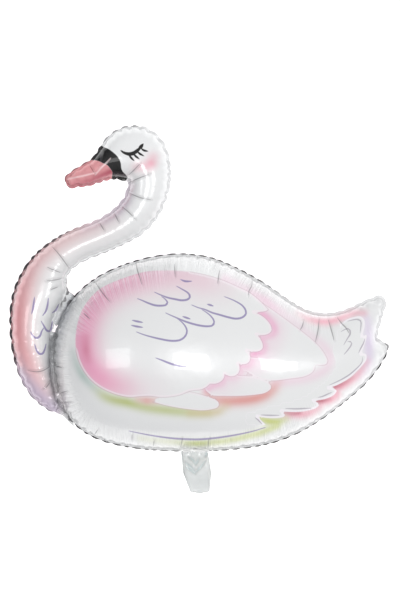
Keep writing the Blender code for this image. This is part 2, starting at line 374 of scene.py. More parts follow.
class SeamLine:
    """A lobe's seam as a closed, counterclockwise loop with its crimps."""

    def __init__(self, runs: tuple, sizes: FilmSizes, seed: int) -> None:
        """Samples the seam.

        Args:
            runs: The runs of the seam, in percent of the length.
            sizes: The film's sizes.
            seed: Seed of the crimps' unevenness.
        """
        rows = []
        for run in runs:
            curve = smooth_run(run) * PERCENT * sizes.length
            steps = np.linalg.norm(np.diff(curve, axis=0), axis=1)
            along = np.concatenate([[0.0], np.cumsum(steps)])
            count = max(2, round(along[-1] / sizes.rim_spacing))
            wanted = np.linspace(0.0, along[-1], count, endpoint=False)
            rows.append(np.column_stack([np.interp(wanted, along, curve[:, k]) for k in (0, 1)]))
        loop = np.vstack(rows)
        after = np.roll(loop, -1, axis=0)
        if np.sum(loop[:, 0] * after[:, 1] - after[:, 0] * loop[:, 1]) < 0:
            loop = np.roll(loop[::-1], 1, axis=0)
        self.loop = loop
        self.sizes = sizes
        along = np.roll(loop, -1, axis=0) - np.roll(loop, 1, axis=0)
        along /= np.linalg.norm(along, axis=1)[:, None]
        self.inward = np.column_stack([-along[:, 1], along[:, 0]])
        self.random = np.random.default_rng(seed)
        self.wave = np.zeros(len(loop))

    def turning(self) -> np.ndarray:
        """Measures how the loop turns, smoothed, positive where it bulges out.

        Returns:
            The curvature at each point.
        """
        heading = np.arctan2(self.inward[:, 1], self.inward[:, 0])
        turn = np.roll(heading, -1) - heading
        turn = (turn + math.pi) % (2 * math.pi) - math.pi
        step = np.linalg.norm(np.roll(self.loop, -1, axis=0) - self.loop, axis=1)
        return ring_smooth(turn / step, 8)

    def crimps(self, pitch: np.ndarray) -> tuple:
        """Lays crimps of uneven width round the seam.

        Args:
            pitch: The wanted width of a crimp at each point of the loop.

        Returns:
            The wave, from -1 in a crease to 1 on a crown, and each crimp's depth.
        """
        sizes = self.sizes.crimps
        step = np.linalg.norm(np.roll(self.loop, -1, axis=0) - self.loop, axis=1)
        along = np.concatenate([[0.0], np.cumsum(step)])
        ends = [0.0]
        while ends[-1] < along[-1]:
            near = min(np.searchsorted(along, ends[-1]), len(pitch) - 1)
            ends.append(ends[-1] + pitch[near] * self.random.uniform(*sizes.widths))
        ends = np.array(ends) * along[-1] / ends[-1]
        depth = self.random.uniform(*sizes.depths, len(ends))
        which = np.clip(np.searchsorted(ends, along[:-1], side="right") - 1, 0, len(ends) - 2)
        share = (along[:-1] - ends[which]) / (ends[which + 1] - ends[which])
        return -np.cos(2 * math.pi * share), depth[which]


class FilmNet:
    """The flat net of one sheet: both lobes, the band, the web and the filling tail."""

    def __init__(self, sizes: FilmSizes) -> None:
        """Lays out the points and joins them to triangles.

        Args:
            sizes: The film's sizes.
        """
        self.sizes = sizes
        self.body = SeamLine(BODY_SEAM, sizes, 1)
        self.neck = SeamLine(NECK_SEAM, sizes, 2)
        self.edge = self.film_edge()
        self.tail = self.filling_tail()
        self.webs = [np.array(web) * PERCENT * sizes.length for web in WEBS]
        self.points = []
        self.sides = []
        loops = [self.add_loop(self.body.loop), self.add_loop(self.neck.loop)]
        self.add_loop(self.edge)
        self.add_loop(self.tail)
        for web in self.webs:
            self.add_loop(web)
        for line in (self.body, self.neck):
            self.add_rim_row(line)
            zone = sizes.rim_zone
            self.add_grid(line.loop, sizes.rim_spacing, 1.45 * sizes.rim_spacing, zone)
            start = zone + 0.5 * sizes.rim_spacing
            self.add_grid(line.loop, sizes.sheet_spacing, start, ALL_THE_WAY)
        tail_gap = 0.6 * sizes.rim_spacing
        self.add_grid(self.tail, 1.3 * sizes.rim_spacing, tail_gap, ALL_THE_WAY)
        for web in self.webs:
            web_gap = 0.3 * sizes.rim_spacing
            self.add_grid(web, 0.6 * sizes.rim_spacing, web_gap, ALL_THE_WAY)
        self.triangulate(loops)

    def film_edge(self) -> np.ndarray:
        """Moves the seams out by the band's width and joins them.

        Returns:
            The film's cut edge.
        """
        kept = []
        width = self.sizes.seam_width
        for own, other in ((self.neck, self.body), (self.body, self.neck)):
            moved = own.loop - own.inward * width
            shared = segment_distance(moved, other.loop, True)[0] < 1.5 * width
            shared |= inside_loop(moved, other.loop)
            clear = ~shared & (segment_distance(moved, own.loop, True)[0] > 0.93 * width)
            first = int(np.argmax(~shared & np.roll(shared, 1)))
            order = (first + np.arange(len(moved))) % len(moved)
            kept.append(moved[order][clear[order]])
        return np.vstack(kept)

    def filling_tail(self) -> np.ndarray:
        """Draws the flat filling tail under the belly.

        Returns:
            Its outline.
        """
        s = self.sizes
        middle = s.tail_place * s.length
        root = self.body.loop[:, 1].min() - s.seam_width / 2
        shoulder = root - s.seam_width
        end = root - s.tail_length
        return np.array(
            [
                (middle - s.tail_root / 2, root),
                (middle - s.tail_root / 2, shoulder),
                (middle - s.tail_end / 2 + s.tail_lean, end),
                (middle + s.tail_end / 2 + s.tail_lean, end),
                (middle + s.tail_root / 2, shoulder),
                (middle + s.tail_root / 2, root),
            ]
        )

    def add_loop(self, loop: np.ndarray) -> np.ndarray:
        """Adds a closed loop whose sides the net keeps.

        Args:
            loop: The loop's points.

        Returns:
            The indices of its points.
        """
        first = len(self.points)
        self.points.extend(map(tuple, loop))
        count = len(loop)
        self.sides.extend((first + i, first + (i + 1) % count) for i in range(count))
        return np.arange(first, first + count)

    def add_rim_row(self, line: SeamLine) -> None:
        """Adds a staggered row of points just inside a seam.

        Args:
            line: The seam.
        """
        loop = line.loop
        inward = line.inward + np.roll(line.inward, -1, axis=0)
        inward /= np.linalg.norm(inward, axis=1)[:, None]
        reach = 0.87 * self.sizes.rim_spacing
        row = (loop + np.roll(loop, -1, axis=0)) / 2 + inward * reach
        keep = inside_loop(row, loop) & (segment_distance(row, loop, True)[0] > 0.8 * reach)
        self.points.extend(map(tuple, row[keep]))

    def add_grid(self, loop: np.ndarray, spacing: float, near: float, far: float) -> None:
        """Adds staggered rows of points inside a loop.

        Args:
            loop: The loop.
            spacing: Distance between the points.
            near: Least distance from the loop.
            far: Greatest distance from the loop.
        """
        low, high = loop.min(0), loop.max(0)
        rise = spacing * math.sqrt(3) / 2
        rows = np.arange(math.ceil((high[1] - low[1]) / rise))
        columns = np.arange(math.ceil((high[0] - low[0]) / spacing) + 1)
        across, up = np.meshgrid(columns, rows)
        x = low[0] + (across + 0.5 * (up % 2)) * spacing
        grid = np.column_stack([x.ravel(), (low[1] + up * rise).ravel()])
        grid = grid[inside_loop(grid, loop)]
        gap = segment_distance(grid, loop, True)[0]
        self.points.extend(map(tuple, grid[(gap > near) & (gap <= far)]))

    def triangulate(self, loops: list) -> None:
        """Joins the points, labels the triangles and turns them one way round.

        Args:
            loops: The indices of the body's and the neck's seam points.
        """
        result = geometry.delaunay_2d_cdt(self.points, self.sides, [], 0, 1e-6, True)
        flat = np.array([tuple(v) for v in result[0]])
        triangles = np.array(result[2])
        middle = flat[triangles].mean(axis=1)
        label = np.full(len(triangles), -1)
        covered = inside_loop(middle, self.edge) | inside_loop(middle, self.tail)
        covered |= np.logical_or.reduce([inside_loop(middle, web) for web in self.webs])
        label[covered] = Lobe.FLAT.value
        label[inside_loop(middle, self.body.loop)] = Lobe.BODY.value
        label[inside_loop(middle, self.neck.loop)] = Lobe.NECK.value
        triangles, label = triangles[label >= 0], label[label >= 0]
        a, b, c = (flat[triangles[:, k]] for k in range(3))
        turn = (b - a)[:, 0] * (c - a)[:, 1] - (b - a)[:, 1] * (c - a)[:, 0]
        triangles[turn < 0] = triangles[turn < 0][:, ::-1]
        used, compact = np.unique(triangles, return_inverse=True)
        renamed = {int(old): new for new, old in enumerate(used)}
        found = {given: i for i, ids in enumerate(result[3]) for given in ids}
        self.flat = flat[used]
        self.triangles = compact.reshape(-1, 3)
        self.label = label
        self.seams = [np.array([renamed[found[i]] for i in loop]) for loop in loops]
        self.on_seam = np.zeros(len(self.flat), bool)
        for seam in self.seams:
            self.on_seam[seam] = True

    def touching(self, lobe: Lobe) -> np.ndarray:
        """Says which points are corners of a lobe's triangles.

        Args:
            lobe: The lobe.

        Returns:
            One truth value for each point.
        """
        found = np.zeros(len(self.flat), bool)
        found[self.triangles[self.label == lobe.value].ravel()] = True
        return found


class Membrane:
    """The evenly loaded membrane over one lobe, held at its seam."""

    def __init__(self, net: FilmNet, lobe: Lobe) -> None:
        """Solves the membrane by conjugate gradients.

        Args:
            net: The flat net.
            lobe: The lobe to solve.
        """
        triangles = net.triangles[net.label == lobe.value]
        count = len(net.flat)
        a, b, c = (net.flat[triangles[:, k]] for k in range(3))
        edges = np.stack([c - b, a - c, b - a], axis=1)
        area = 0.5 * (edges[:, 0, 0] * edges[:, 1, 1] - edges[:, 0, 1] * edges[:, 1, 0])
        stiffness = np.einsum("mik,mjk->mij", edges, edges) / (4 * area)[:, None, None]
        corners = triangles.ravel()

        def gather(values: np.ndarray) -> np.ndarray:
            """Adds up values given at the triangles' corners for each point."""
            return np.bincount(corners, weights=values.ravel(), minlength=count)

        load = gather(np.repeat(area / 3, 3))
        free = net.touching(lobe) & ~net.on_seam
        scale = np.maximum(gather(np.einsum("mii->mi", stiffness)), TINY)
        self.lift = np.zeros(count)
        rest = np.where(free, load, 0.0)
        step = rest / scale
        size = rest @ step
        goal = size * 1e-14
        for _ in range(1500):
            pull = np.where(free, gather(np.einsum("mij,mj->mi", stiffness, step[triangles])), 0.0)
            share = size / (step @ pull)
            self.lift += share * step
            rest -= share * pull
            preconditioned = rest / scale
            size, before = rest @ preconditioned, size
            if size < goal:
                break
            step = preconditioned + size / before * step
        turned = np.stack([-edges[..., 1], edges[..., 0]], axis=-1)
        slope = np.einsum("mi,mik->mk", self.lift[triangles], turned) / (2 * area)[:, None]
        weight = np.maximum(gather(np.repeat(area, 3)), TINY)
        parts = [gather(np.repeat(area * slope[:, k], 3)) / weight for k in (0, 1)]
        self.slope = np.column_stack(parts)


@dataclass(frozen=True)
class LobeForm:
    """How one lobe stands up when it is full."""

    lobe: Lobe
    half: float
    roundness: float
    crimp_reach: float
    crimp_share: float


class Inflation:
    """Both sheets in space, from the smooth form through crimps to the taut film."""

    def __init__(self, net: FilmNet, sizes: FilmSizes, gas: GasRun) -> None:
        """Keeps what the run needs.

        Args:
            net: The flat net.
            sizes: The film's sizes.
            gas: The settings of the gas.
        """
        self.net = net
        self.sizes = sizes
        self.gas = gas
        count = len(net.flat)
        self.plan = net.flat.copy()
        self.height = np.zeros(count)
        self.crimp = np.zeros(count)
        self.rim_shift = np.zeros((count, 3))
        self.crown = np.zeros(count)
        self.along = np.zeros(count)
        self.depth = np.full(count, 1.0)
        self.upper = self.lower = np.full(count, -1)

    def form_lobe(self, form: LobeForm) -> None:
        """Draws one lobe's points up to its smooth full form.

        Points near the seam move outwards, as film does that turns over the rim.

        Args:
            form: The lobe and how it stands.
        """
        net = self.net
        membrane = Membrane(net, form.lobe)
        chosen = net.touching(form.lobe) & ~net.on_seam
        steep = np.linalg.norm(membrane.slope, axis=1) + TINY
        out = form.roundness * steep
        reach = np.sqrt(out**2 + 2 * form.roundness * np.maximum(membrane.lift, 0)) + TINY
        angle = math.pi / 2 * np.clip(out / reach, 0, 1)
        shift = (reach * np.sin(angle) - out) / steep
        moved = net.flat - membrane.slope * shift[:, None]
        full = math.sqrt(2 * form.roundness * membrane.lift.max())
        height = form.half * reach / full * np.cos(angle)
        self.plan[chosen] = moved[chosen]
        self.height[chosen] = height[chosen]
        self.crimp_lobe(form, ring_smooth(reach[net.seams[form.lobe.value - 1]], 8), chosen)

    def crimp_lobe(self, form: LobeForm, width: np.ndarray, chosen: np.ndarray) -> None:
        """Lays the crimps of one lobe's seam and lets them run into the film.

        Args:
            form: The lobe.
            width: The lobe's half width near each seam point.
            chosen: The lobe's points off the seam.
        """
        net = self.net
        sizes = self.sizes.crimps
        line = net.body if form.lobe is Lobe.BODY else net.neck
        seam = net.seams[form.lobe.value - 1]
        breast = (line.loop < np.array(sizes.breast)).all(axis=1) & (form.lobe is Lobe.NECK)
        pitch = np.where(breast, sizes.breast_pitch, sizes.pitch)
        wave, depth = line.crimps(pitch)
        bend = line.turning() * width
        spare = np.clip(sizes.bend_share * bend / (1 + np.abs(bend)), 0.0, sizes.most_spare)
        depth = depth * form.crimp_share
        swing = np.sqrt(spare + sizes.least_spare) * pitch / math.pi * depth
        reaches = form.crimp_reach * line.random.uniform(*sizes.reaches, len(seam))
        reach = ring_smooth(reaches, 1)
        notch = 1 - np.sqrt((1 + wave) / 2)
        self.rim_shift[seam, 2] = sizes.rim_swing * swing * wave
        self.rim_shift[seam, :2] = line.inward * (sizes.notch * depth * notch)[:, None]
        inner = np.flatnonzero(chosen)
        gap, place = segment_distance(net.flat[inner], line.loop, True)
        near = np.round(place).astype(int) % len(seam)
        self.crimp[inner] = swing[near] * wave[near] * np.exp(-0.5 * (gap / reach[near]) ** 2)
        line.wave = wave
        self.mark(inner, line, gap, place)
        self.mark(seam, line, np.zeros(len(seam)), np.arange(len(seam), dtype=float))

    def mark(self, rows: np.ndarray, line: SeamLine, gap: np.ndarray, place: np.ndarray) -> None:
        """Notes where points lie along and away from a seam, for the finish.

        Args:
            rows: The points.
            line: The seam.
            gap: Their distance from the seam.
            place: Their place along it, as a fractional index.
        """
        closer = gap < self.depth[rows]
        rows, gap, place = rows[closer], gap[closer], place[closer]
        near = np.round(place).astype(int) % len(line.loop)
        self.depth[rows] = gap
        self.crown[rows] = line.wave[near]
        self.along[rows] = place * self.sizes.rim_spacing

    def ribs(self) -> np.ndarray:
        """Says how strongly the body's seam draws ribs into the film.

        Returns:
            A share from 0 to 1 for each point of the net.
        """
        net = self.net
        sizes = self.sizes.ribs
        shoulder = (net.flat[:, 0] < sizes.shoulder[0]) & (net.flat[:, 1] > sizes.shoulder[1])
        end = np.where(shoulder, sizes.shoulder_end, sizes.end)
        fade = 1 - smooth_step(self.depth, sizes.start, end)
        fade *= 1 - smooth_step(net.flat[:, 0], *sizes.tail)
        fade[~net.touching(Lobe.BODY)] = 0.0
        return fade

    def spread_rim(self) -> None:
        """Lets the band, the web and the filling tail follow the crimped seams."""
        net = self.net
        outer = np.flatnonzero(net.touching(Lobe.FLAT) & ~net.on_seam)
        best = np.full(len(outer), np.inf)
        shift = np.zeros((len(outer), 3))
        for line, seam in zip((net.body, net.neck), net.seams):
            gap, place = segment_distance(net.flat[outer], line.loop, True)
            near = np.round(place).astype(int) % len(seam)
            past = np.maximum(gap - self.sizes.seam_width, 0)
            fade = np.exp(-past / self.sizes.crimps.rim_fade)
            closer = gap < best
            self.mark(outer, line, gap, place)
            found = self.rim_shift[seam[near]] * fade[:, None]
            shift[closer] = found[closer]
            best[closer] = gap[closer]
        shift[:, 2] += self.tail_creases(net.flat[outer])
        for web, swing in zip(net.webs, self.sizes.flat.web_creasing):
            crumpled = inside_loop(net.flat[outer], web)
            shift[crumpled, 2] += np.random.default_rng(5).normal(0, swing, crumpled.sum())
        self.rim_shift[outer] = shift

    def tail_creases(self, points: np.ndarray) -> np.ndarray:
        """Gives the height of the filling tail's folds and sag.

        Args:
            points: Points of the flat film.

        Returns:
            The heights, 0 outside the filling tail.
        """
        sizes, flat = self.sizes, self.sizes.flat
        x, y = points.T
        root = self.net.body.loop[:, 1].min() - flat.tail_start
        down = np.clip((root - y) / flat.tail_run, 0, 1)
        middle = sizes.tail_place * sizes.length + sizes.tail_lean * down
        sway, turns = flat.fold_sway
        folds = np.sin((x - middle) * flat.folds_per_metre + sway * np.sin(down * turns))
        folds *= np.exp(-down * flat.fold_fade)
        sag = flat.sag * np.sin(down * flat.sag_turn)
        height = (flat.fold_height * folds + sag) * smooth_step(down, 0, flat.stiff_root)
        return np.where(y < 0, height, 0)

    def sheets(self) -> tuple:
        """Joins both lobes' sheets along their seams and adds the crimps.

        Returns:
            The points, the triangles, and the net's index of each point.
        """
        net = self.net
        lobes = net.label != Lobe.FLAT.value
        triangles = net.triangles[lobes]
        used = np.unique(triangles)
        inner = used[~net.on_seam[used]]
        upper = np.full(len(net.flat), -1)
        upper[used] = np.arange(len(used))
        lower = upper.copy()
        lower[inner] = len(used) + np.arange(len(inner))
        faces = np.vstack([upper[triangles], lower[triangles][:, ::-1]])
        source = np.concatenate([used, inner])
        side = np.concatenate([np.ones(len(used)), -np.ones(len(inner))])
        points = np.column_stack([self.plan[source], self.height[source] * side])
        corner = points[faces]
        face_normal = np.cross(corner[:, 1] - corner[:, 0], corner[:, 2] - corner[:, 0])
        normal = np.zeros_like(points)
        for k in range(3):
            np.add.at(normal, faces[:, k], face_normal)
        normal /= np.linalg.norm(normal, axis=1)[:, None] + TINY
        most = self.sizes.crimps.unevenness
        uneven = np.random.default_rng(7).uniform(-most, most, len(points))
        points += normal * (self.crimp[source] * side + uneven)[:, None]
        points += self.rim_shift[source] * net.on_seam[source][:, None]
        self.upper, self.lower = upper, lower
        return points, faces, source

    def run_gas(self, points: np.ndarray, faces: np.ndarray, held: np.ndarray) -> np.ndarray:
        """Lets the gas pull the film taut between the held seams.

        Args:
            points: The film's points.
            faces: Its triangles.
            held: The indices of the held points.

        Returns:
            The points after the run.
        """
        mesh = bpy.data.meshes.new("gas_run")
        mesh.from_pydata(points.tolist(), [], faces.tolist())
        film = bpy.data.objects.new("gas_run", mesh)
        scene = bpy.context.scene
        scene.collection.objects.link(film)
        group = film.vertex_groups.new(name="seam")
        group.add([int(i) for i in held], 1.0, "REPLACE")
        cloth = film.modifiers.new("gas", "CLOTH")
        cloth.collision_settings.use_collision = False
        cloth.point_cache.frame_start = 1
        cloth.point_cache.frame_end = self.gas.frames + 1
        settings = cloth.settings
        settings.quality = 5
        settings.mass = self.gas.mass
        settings.tension_stiffness = self.gas.tension
        settings.compression_stiffness = self.gas.tension
        settings.shear_stiffness = self.gas.shear
        settings.bending_stiffness = self.gas.bending
        settings.use_pressure = True
        settings.uniform_pressure_force = self.gas.pressure
        settings.effector_weights.gravity = 0
        settings.vertex_group_mass = "seam"
        for step in range(1, self.gas.frames + 1):
            scene.frame_set(step)
        seen = film.evaluated_get(bpy.context.evaluated_depsgraph_get())
        result = np.empty(3 * len(points), np.float32)
        seen.data.vertices.foreach_get("co", result)
        scene.frame_set(1)
        bpy.data.objects.remove(film)
        bpy.data.meshes.remove(mesh)
        return result.reshape(-1, 3).astype(float)

    def inflate(self) -> tuple:
        """Fills the balloon.

        Returns:
            The upper and the lower sheet's points, one row for each of the net's.
        """
        s = self.sizes
        self.form_lobe(LobeForm(Lobe.BODY, s.body_half, 1.4, 0.013, 0.62))
        self.form_lobe(LobeForm(Lobe.NECK, s.neck_half, 1.05, 0.009, 0.85))
        self.spread_rim()
        points, faces, source = self.sheets()
        held = np.flatnonzero(self.net.on_seam[source][: (self.upper >= 0).sum()])
        taut = self.run_gas(points, faces, held)
        base = np.column_stack([self.net.flat, np.zeros(len(self.net.flat))]) + self.rim_shift
        top, bottom = base.copy(), base.copy()
        film = self.upper >= 0
        top[film] = taut[self.upper[film]]
        bottom[film] = taut[self.lower[film]]
        flat = self.net.on_seam | ~film
        top[flat, 2] += s.film
        bottom[flat, 2] -= s.film
        return top, bottom


FIELD_REACH = 1.5  # how far from an edge its field is measured, in percent
FIELD_FAR = 2.0  # what the field holds past that


@dataclass(frozen=True)
class Stencil:
    """A printed area with a sharp edge, as smooth runs between corners, in percent."""

    name: str
    runs: tuple
    bare: tuple = ()

    def fields(self, where: np.ndarray) -> tuple:
        """Distances to the area's edge and to the line drawn along it.

        Args:
            where: Points in percent of the length.

        Returns:
            The signed distances to the edge, negative inside, and those to the runs
            that aren't bare, in percent.
        """
        curves = [smooth_run(run, 5) for run in self.runs]
        loop = np.vstack([curve[:-1] for curve in curves])
        near = rows_near(where, loop, FIELD_REACH)
        edge = np.full(len(where), FIELD_FAR)
        edge[near] = signed_distance(where[near], loop)
        gap = np.full(len(where), FIELD_FAR)
        for i, curve in enumerate(curves):
            if i not in self.bare:
                near = rows_near(where, curve, FIELD_REACH)
                found = segment_distance(where[near], curve, False)[0]
                gap[near] = np.minimum(gap[near], found)
        return edge, np.where(edge < 0, -gap, gap)


@dataclass(frozen=True)
class Airbrush:
    """A soft stroke of colour along a path of (x, y, strength) in percent."""

    path: tuple
    colour: tuple
    spread: float
    steps: ClassVar[int] = 3  # points of the route for each span
    furthest: ClassVar[float] = 3.3  # spreads past which nothing shows

    def cover(self, where: np.ndarray) -> np.ndarray:
        """Share of the surface that the stroke covers.

        Args:
            where: Points in percent of the length.

        Returns:
            The shares, from 0 to 1.
        """
        route = smooth_run(self.path, self.steps)
        strength = np.array(self.path)[:, 2]
        near = rows_near(where, route, self.furthest * self.spread)
        gap, place = segment_distance(where[near], route, False)
        along = np.interp(place / self.steps, np.arange(len(strength)), strength)
        share = np.zeros(len(where))
        share[near] = np.clip(along * np.exp(-0.5 * (gap / self.spread) ** 2), 0, 1)
        return share

    def lay(self, where: np.ndarray, ground: np.ndarray) -> None:
        """Lays the stroke over colours that are there already.

        Args:
            where: Points in percent of the length.
            ground: Their colours, which are changed.
        """
        ground += (to_light(self.colour) - ground) * self.cover(where)[:, None]


@dataclass(frozen=True)
class Pen:
    """A set of lines, with their half width in percent of the length: print, or creases and ridges
    with painted shade or highlight.
    """

    name: str
    strokes: tuple
    half_width: float
    clear: float
    far: ClassVar[float] = 50.0  # side of a point that no line is near
    least: ClassVar[float] = -5.0  # half width there
    blunt: ClassVar[float] = 0.35  # share of the width at a line's ends

    def sheets(self) -> list:
        """Shares the lines out, so that lines close to each other lie on different sheets.

        Returns:
            The curves of each sheet.
        """
        sheets = []
        apart = 2 * (self.clear + self.half_width)
        for stroke in self.strokes:
            curve = smooth_run(stroke, 6) if len(stroke) > 2 else np.array(stroke, float)
            for sheet in sheets:
                if all(segment_distance(curve, c, False)[0].min() > apart for c in sheet):
                    sheet.append(curve)
                    break
            else:
                sheets.append([curve])
        return sheets

    def fields(self, where: np.ndarray, curves: list) -> tuple:
        """Side and half width of the nearest line of one sheet.

        Both change evenly across a line, so the line stays sharp between the points.

        Args:
            where: Points in percent of the length.
            curves: The sheet's curves.

        Returns:
            The signed distances from the line, and its half width there, which is
            below zero past the line's ends and away from it.
        """
        best = np.full(len(where), self.far)
        side = np.full(len(where), self.far)
        reach = np.full(len(where), self.least)
        for curve in curves:
            near = rows_near(where, curve, self.clear + 1.2)
            gap, place = segment_distance(where[near], curve, False)
            piece = np.minimum(place.astype(int), len(curve) - 2)
            along = curve[piece + 1] - curve[piece]
            along /= np.linalg.norm(along, axis=1)[:, None] + TINY
            offset = where[near] - curve[piece]
            across = along[:, 0] * offset[:, 1] - along[:, 1] * offset[:, 0]
            length = np.linalg.norm(curve[1:] - curve[:-1], axis=1)
            run = np.concatenate([[0.0], np.cumsum(length)])
            spot = run[piece] + (offset * along).sum(1)
            past = np.maximum(np.maximum(-spot, spot - run[-1]), 0.0)
            taper = np.sin(math.pi * np.clip(spot / run[-1], 0.0, 1.0))
            width = self.half_width * (self.blunt + (1 - self.blunt) * taper) - 0.8 * past
            width -= 3.0 * np.maximum(gap - self.clear, 0.0)
            closer = gap < best[near]
            near = near[closer]
            best[near], side[near], reach[near] = gap[closer], across[closer], width[closer]
        return side, np.maximum(reach, self.least)


# Colours of the print and of the painted shade and highlights, as a screen shows them
WHITE = (0.915, 0.918, 0.918)
PINK = (0.93, 0.66, 0.77)
DEEP_PINK = (0.82, 0.47, 0.57)
SOFT_PINK = (0.93, 0.79, 0.86)
SCALLOP_PINK = (0.92, 0.68, 0.80)
SALMON = (0.88, 0.63, 0.61)
ROSE = (0.92, 0.66, 0.72)
DEEP_ROSE = (0.72, 0.33, 0.40)
GREEN = (0.74, 0.775, 0.52)
YELLOW_GREEN = (0.80, 0.83, 0.50)
OCHRE = (0.82, 0.74, 0.52)
TEAL = (0.64, 0.73, 0.70)
LILAC = (0.86, 0.80, 0.90)
NECK_LILAC = (0.75, 0.69, 0.80)
MAUVE = (0.78, 0.70, 0.78)
PAINTED_LIGHT_PEARL = (0.965, 0.97, 0.97)
CORAL = (0.90, 0.65, 0.665)
BILL_SHADE = (0.80, 0.49, 0.52)
BRIGHT_PINK = (0.93, 0.70, 0.72)
MAROON_RIM_SHADE = (0.42, 0.22, 0.25)
GROOVE_SHADE_GREY = (0.34, 0.35, 0.38)
SHADE_GREY = (0.72, 0.74, 0.77)
PALE_LINE = (0.95, 0.91, 0.93)
PLUME_INK = (0.56, 0.52, 0.69)
QUILL_INK = (0.55, 0.50, 0.58)
FOLD_SHADE_GREY = (0.30, 0.28, 0.31)
BLACK_INK = (0.012, 0.012, 0.015)
RIM_DASH_SHADE = (0.17, 0.15, 0.17)
BILL_FOLD_SHADE = (0.55, 0.24, 0.28)
RIDGE_LIGHT = (0.98, 0.90, 0.90)
RIB_LIGHT = (0.98, 0.90, 0.94)
TAIL_LINE = (0.97, 0.95, 0.97)
FEATHER_LINE = (0.76, 0.60, 0.66)
WING_LINE = (0.72, 0.54, 0.62)

# Printed areas, lines and soft strokes, some of them painted shade or highlights, in percent of the
# length
WING = Stencil("wing", (
    (
        (67.9, 37.2), (66.2, 39.0), (64.4, 40.6), (62.6, 41.9), (60.5, 42.9), (57.9, 44.1),
        (54.8, 45.3), (51.3, 46.3), (47.4, 47.1),
    ),
    (
        (47.4, 47.1), (43.6, 47.5), (39.5, 47.5), (36.4, 47.3),
        (34.3, 46.9), (31.7, 46.1), (29.1, 45.2), (26.4, 44.1), (23.8, 42.7), (21.7, 40.8),
        (19.9, 38.5),
        (18.6, 35.9), (17.8, 33.0), (17.4, 29.8), (17.5, 26.7),
    ),
    (
        (17.5, 26.7), (18.3, 23.8), (19.6, 21.2), (21.5, 18.8),
        (23.8, 17.0), (26.4, 15.7), (29.1, 14.8), (31.7, 14.4), (34.3, 14.6), (36.9, 14.7),
        (39.5, 14.4), (42.1, 14.5), (44.8, 15.0), (47.1, 16.0),
    ),
    ((47.1, 16.0), (48.7, 16.2), (50.3, 16.4), (51.6, 17.0), (52.6, 17.9)),
    ((52.6, 17.9), (54.2, 17.9), (55.5, 18.5), (56.3, 19.5), (56.4, 20.7)),
    (
        (56.4, 20.7), (57.3, 20.0), (58.4, 19.8), (59.6, 20.2), (60.3, 21.2), (60.3, 22.5),
        (59.7, 23.4),
    ),
    (
        (59.7, 23.4), (60.6, 23.0), (61.8, 23.0), (62.8, 23.5), (63.2, 24.6), (62.9, 25.8),
        (62.0, 26.7),
    ),
    (
        (62.0, 26.7), (63.6, 26.3), (65.4, 26.4), (66.4, 27.1), (66.4, 28.3), (65.8, 29.6),
        (64.7, 30.9),
    ),
    (
        (64.7, 30.9), (66.2, 30.6), (67.8, 30.9), (68.7, 31.7), (68.6, 32.9), (67.7, 34.3),
        (66.1, 35.7), (63.9, 36.7),
    ),
    ((63.9, 36.7), (65.4, 36.7), (66.8, 36.8), (67.9, 37.2)),
), (1,))
FEATHERS = (
    Stencil("long_feather", (
        (
            (66.2, 39.0), (68.3, 37.6), (70.9, 35.8), (73.6, 33.8), (76.2, 31.9), (80.1, 28.7),
            (81.9, 26.7), (83.0, 24.9), (83.4, 23.7), (83.0, 23.0), (81.4, 22.7),
        ),
        ((81.4, 22.7), (65.2, 25.4), (64.7, 33.2), (66.2, 39.0)),
    ), (1,)),
    Stencil("second_feather", (
        (
            (62.6, 24.9), (66.2, 24.5), (70.9, 23.8), (76.2, 23.7), (79.1, 23.6), (80.1, 22.6),
            (79.6, 21.1), (77.7, 19.9), (73.6, 19.2), (68.8, 18.7), (65.2, 19.4), (62.6, 20.9),
        ),
        ((62.6, 20.9), (60.5, 21.9), (60.0, 24.0), (62.6, 24.9)),
    ), (1,)),
    Stencil("middle_feather", (
        (
            (59.9, 20.0), (63.1, 19.8), (65.7, 19.2), (67.8, 18.2), (68.7, 17.0), (68.2, 16.2),
            (66.8, 15.4), (64.4, 15.0), (60.5, 14.7), (56.5, 14.7), (53.1, 14.9), (51.6, 16.0),
        ),
        ((51.6, 16.0), (50.5, 18.5), (55.0, 21.5), (59.4, 21.5), (59.9, 20.0)),
    ), (1,)),
    Stencil("short_feather", (
        (
            (47.1, 15.7), (49.2, 15.3), (51.3, 14.7), (53.1, 14.1), (54.5, 13.4), (55.0, 12.6),
            (54.6, 11.7), (53.1, 11.2), (50.8, 10.9), (47.9, 11.1), (44.2, 11.6), (40.8, 12.3),
            (37.4, 13.2),
        ),
        ((37.4, 13.2), (39.5, 14.4), (47.1, 15.7)),
    ), (1,)),
)
